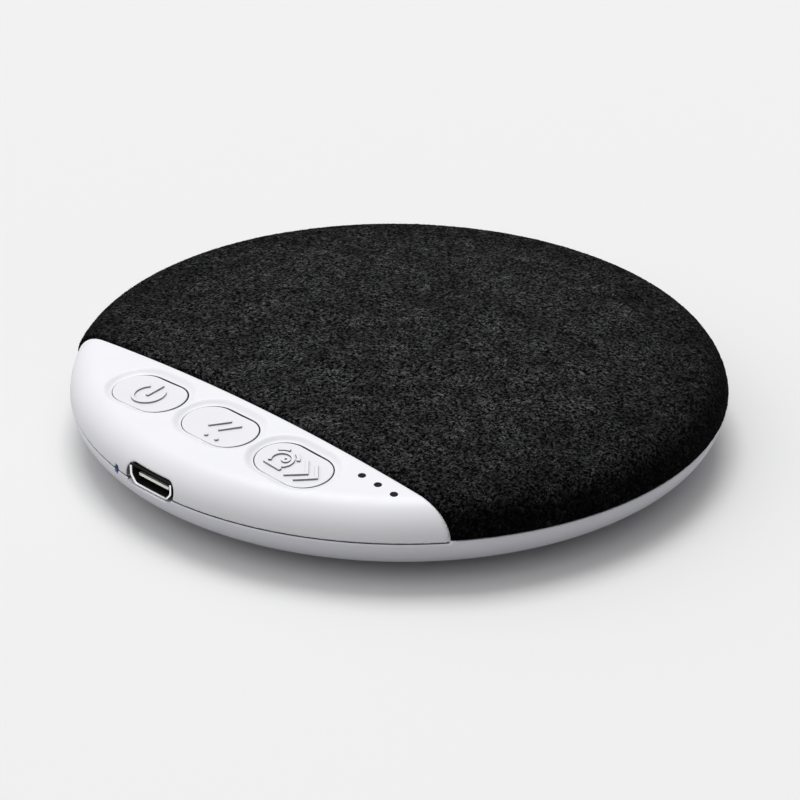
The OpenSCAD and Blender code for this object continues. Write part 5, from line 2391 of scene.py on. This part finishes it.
@dataclass
class Studio:
    """The pale floor, the soft light and the camera, in metres and degrees."""

    aim_z: float
    elevation: float = 27.372
    azimuth: float = 44.477
    roll: float = 0.671
    distance: float = 0.43252
    lens: float = 144.5
    sensor: float = 36
    clip: Spot = (0.01, 20)
    shift: Spot = (0.00026, -0.002467)
    floor_side: float = 6
    floor_z: float = -0.00002
    floor_tone: float = 0.815
    floor_roughness: float = 0.9
    floor_specular: float = 0.1
    bounce_tone: float = 0.37
    backdrop_tone: float = 0.871
    world: float = 0.64
    dome_power: float = 0.8
    left_share: float = 0.75
    lamp_power: float = 90.0
    lamp_at: tuple[float, float, float] = (-1.05, 0.75, 4.05)
    lamp_side: float = 2.4

    def camera(self) -> None:
        """Set the camera at the photograph's viewing angle."""
        e, a, roll = (math.radians(x) for x in (self.elevation, self.azimuth, self.roll))
        back = Vector((math.sin(a) * math.cos(e), -math.cos(a) * math.cos(e), math.sin(e)))
        side = Vector((math.cos(a), math.sin(a), 0))
        up = back.cross(side)
        aim = Vector((0, 0, self.aim_z)) + side * self.shift[0] + up * self.shift[1]
        right = side * math.cos(roll) + up * math.sin(roll)
        top = up * math.cos(roll) - side * math.sin(roll)
        data = bpy.data.cameras.new("camera")
        data.sensor_width = self.sensor
        data.lens = self.lens
        data.clip_start, data.clip_end = self.clip
        camera = bpy.data.objects.new("camera", data)
        place = Matrix.Identity(4)
        for k, column in enumerate((right, top, back, aim + back * self.distance)):
            for row in range(3):
                place[row][k] = column[row]
        camera.matrix_world = place
        bpy.context.scene.collection.objects.link(camera)
        bpy.context.scene.camera = camera

    def seen(self, nodes: Nodes) -> bpy.types.NodeSocket:
        """Tell rays that see the studio, itself or in metal and glass, from those that carry its light.

        Args:
            nodes: The tree that asks.

        Returns:
            One for rays that see it, and nought for the others.
        """
        path = nodes.add("LightPath").outputs
        mirrored = nodes.math("MAXIMUM", path["Is Glossy Ray"], path["Is Transmission Ray"])
        return nodes.math("MAXIMUM", path["Is Camera Ray"], mirrored)

    def floor(self) -> None:
        """Lay the pale floor, which throws less light back at the object than it shows."""
        obj = started(bpy.ops.mesh.primitive_plane_add, size=self.floor_side, location=(0, 0, self.floor_z))
        obj.name = "floor"
        material, nodes = blank_material("pale_floor")
        tone = nodes.mix(self.seen(nodes), (self.bounce_tone,) * 3, (self.floor_tone,) * 3)
        words = {"Roughness": self.floor_roughness, "Specular IOR Level": self.floor_specular}
        shader = nodes.add("BsdfPrincipled", {"Base Color": tone, **words})
        nodes.add("OutputMaterial", {"Surface": shader.outputs[0]})
        obj.data.materials.append(material)

    def lamp(self) -> None:
        """Hang one large soft lamp."""
        data = bpy.data.lights.new("softbox", "AREA")
        data.shape = "SQUARE"
        data.size = self.lamp_side
        data.energy = self.lamp_power
        lamp = bpy.data.objects.new("softbox", data)
        lamp.location = self.lamp_at
        lamp.rotation_euler = Vector(self.lamp_at).to_track_quat("Z", "Y").to_euler()
        bpy.context.scene.collection.objects.link(lamp)

    def dome(self) -> None:
        """Put up a dome of light that is brightest overhead and on the left, before a plain wall."""
        world = bpy.data.worlds.new("studio")
        world.use_nodes = True
        world.node_tree.nodes.clear()
        nodes = Nodes(world.node_tree)
        way = nodes.add("TexCoord").outputs["Generated"]
        rise = nodes.math("MAXIMUM", nodes.part(way, "Z"), 0.0)
        power = nodes.math("POWER", rise, self.dome_power)
        power = nodes.math("MULTIPLY", power, self.world * (1 + self.dome_power / 2))
        a = math.radians(self.azimuth)
        left = (-self.left_share * math.cos(a), -self.left_share * math.sin(a), 0)
        lean = nodes.add("VectorMath", {0: way, 1: left}, operation="DOT_PRODUCT").outputs["Value"]
        power = nodes.math("MULTIPLY", power, nodes.math("ADD", lean, 1.0))
        room = nodes.add("Background", {"Color": (1, 1, 1, 1), "Strength": power})
        wall = nodes.add("Background", {"Color": (*(self.backdrop_tone,) * 3, 1), "Strength": 1.0})
        mixed = nodes.add("MixShader", {0: self.seen(nodes), 1: room.outputs[0], 2: wall.outputs[0]})
        nodes.add("OutputWorld", {"Surface": mixed.outputs[0]})
        bpy.context.scene.world = world

    def build(self) -> None:
        """Set up the camera, the floor and the light."""
        self.camera()
        self.floor()
        self.lamp()
        self.dome()
        bpy.context.scene.view_settings.view_transform = "Standard"


def main() -> None:
    """Load the frame, set up the studio, build every piece in order and give the frame's nodes finishes."""
    logging.basicConfig(level=logging.INFO, format="%(name)s: %(message)s")
    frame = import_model()
    body = Body.from_frame()
    LOG.info("body radius %.2f, seam %.3f, crown %.3f", body.body_r, body.seam_z, body.crown_z)
    LOG.info("keys at %.3f, %.3f apart", body.key_y, body.key_pitch)
    Studio(aim_z=body.seam_z * MM).build()
    port = Port(body)
    shell = BottomShell(body, port)
    panel = ControlPanel(body, port)
    built = [shell.build(), panel.build(), port.build()]
    built += [KeyCap(body, key).build() for key in Key]
    built += [Windows(body, panel).build(), port.lens(), Feet(shell).build()]
    built += FeltCover(body).build()
    for piece in built:
        LOG.info("%s: %d faces", piece.name, len(piece.data.polygons))
    port.dress_tongue(frame["nodes"]["usb_tongue"])
    port.dress_contacts(frame["nodes"]["usb_contacts"])
    for name, finish in INNER_FINISHES.items():
        dress(frame["nodes"][name], finish)
        LOG.info("%s: %s", name, finish.name)


if __name__ == "__main__":
    main()
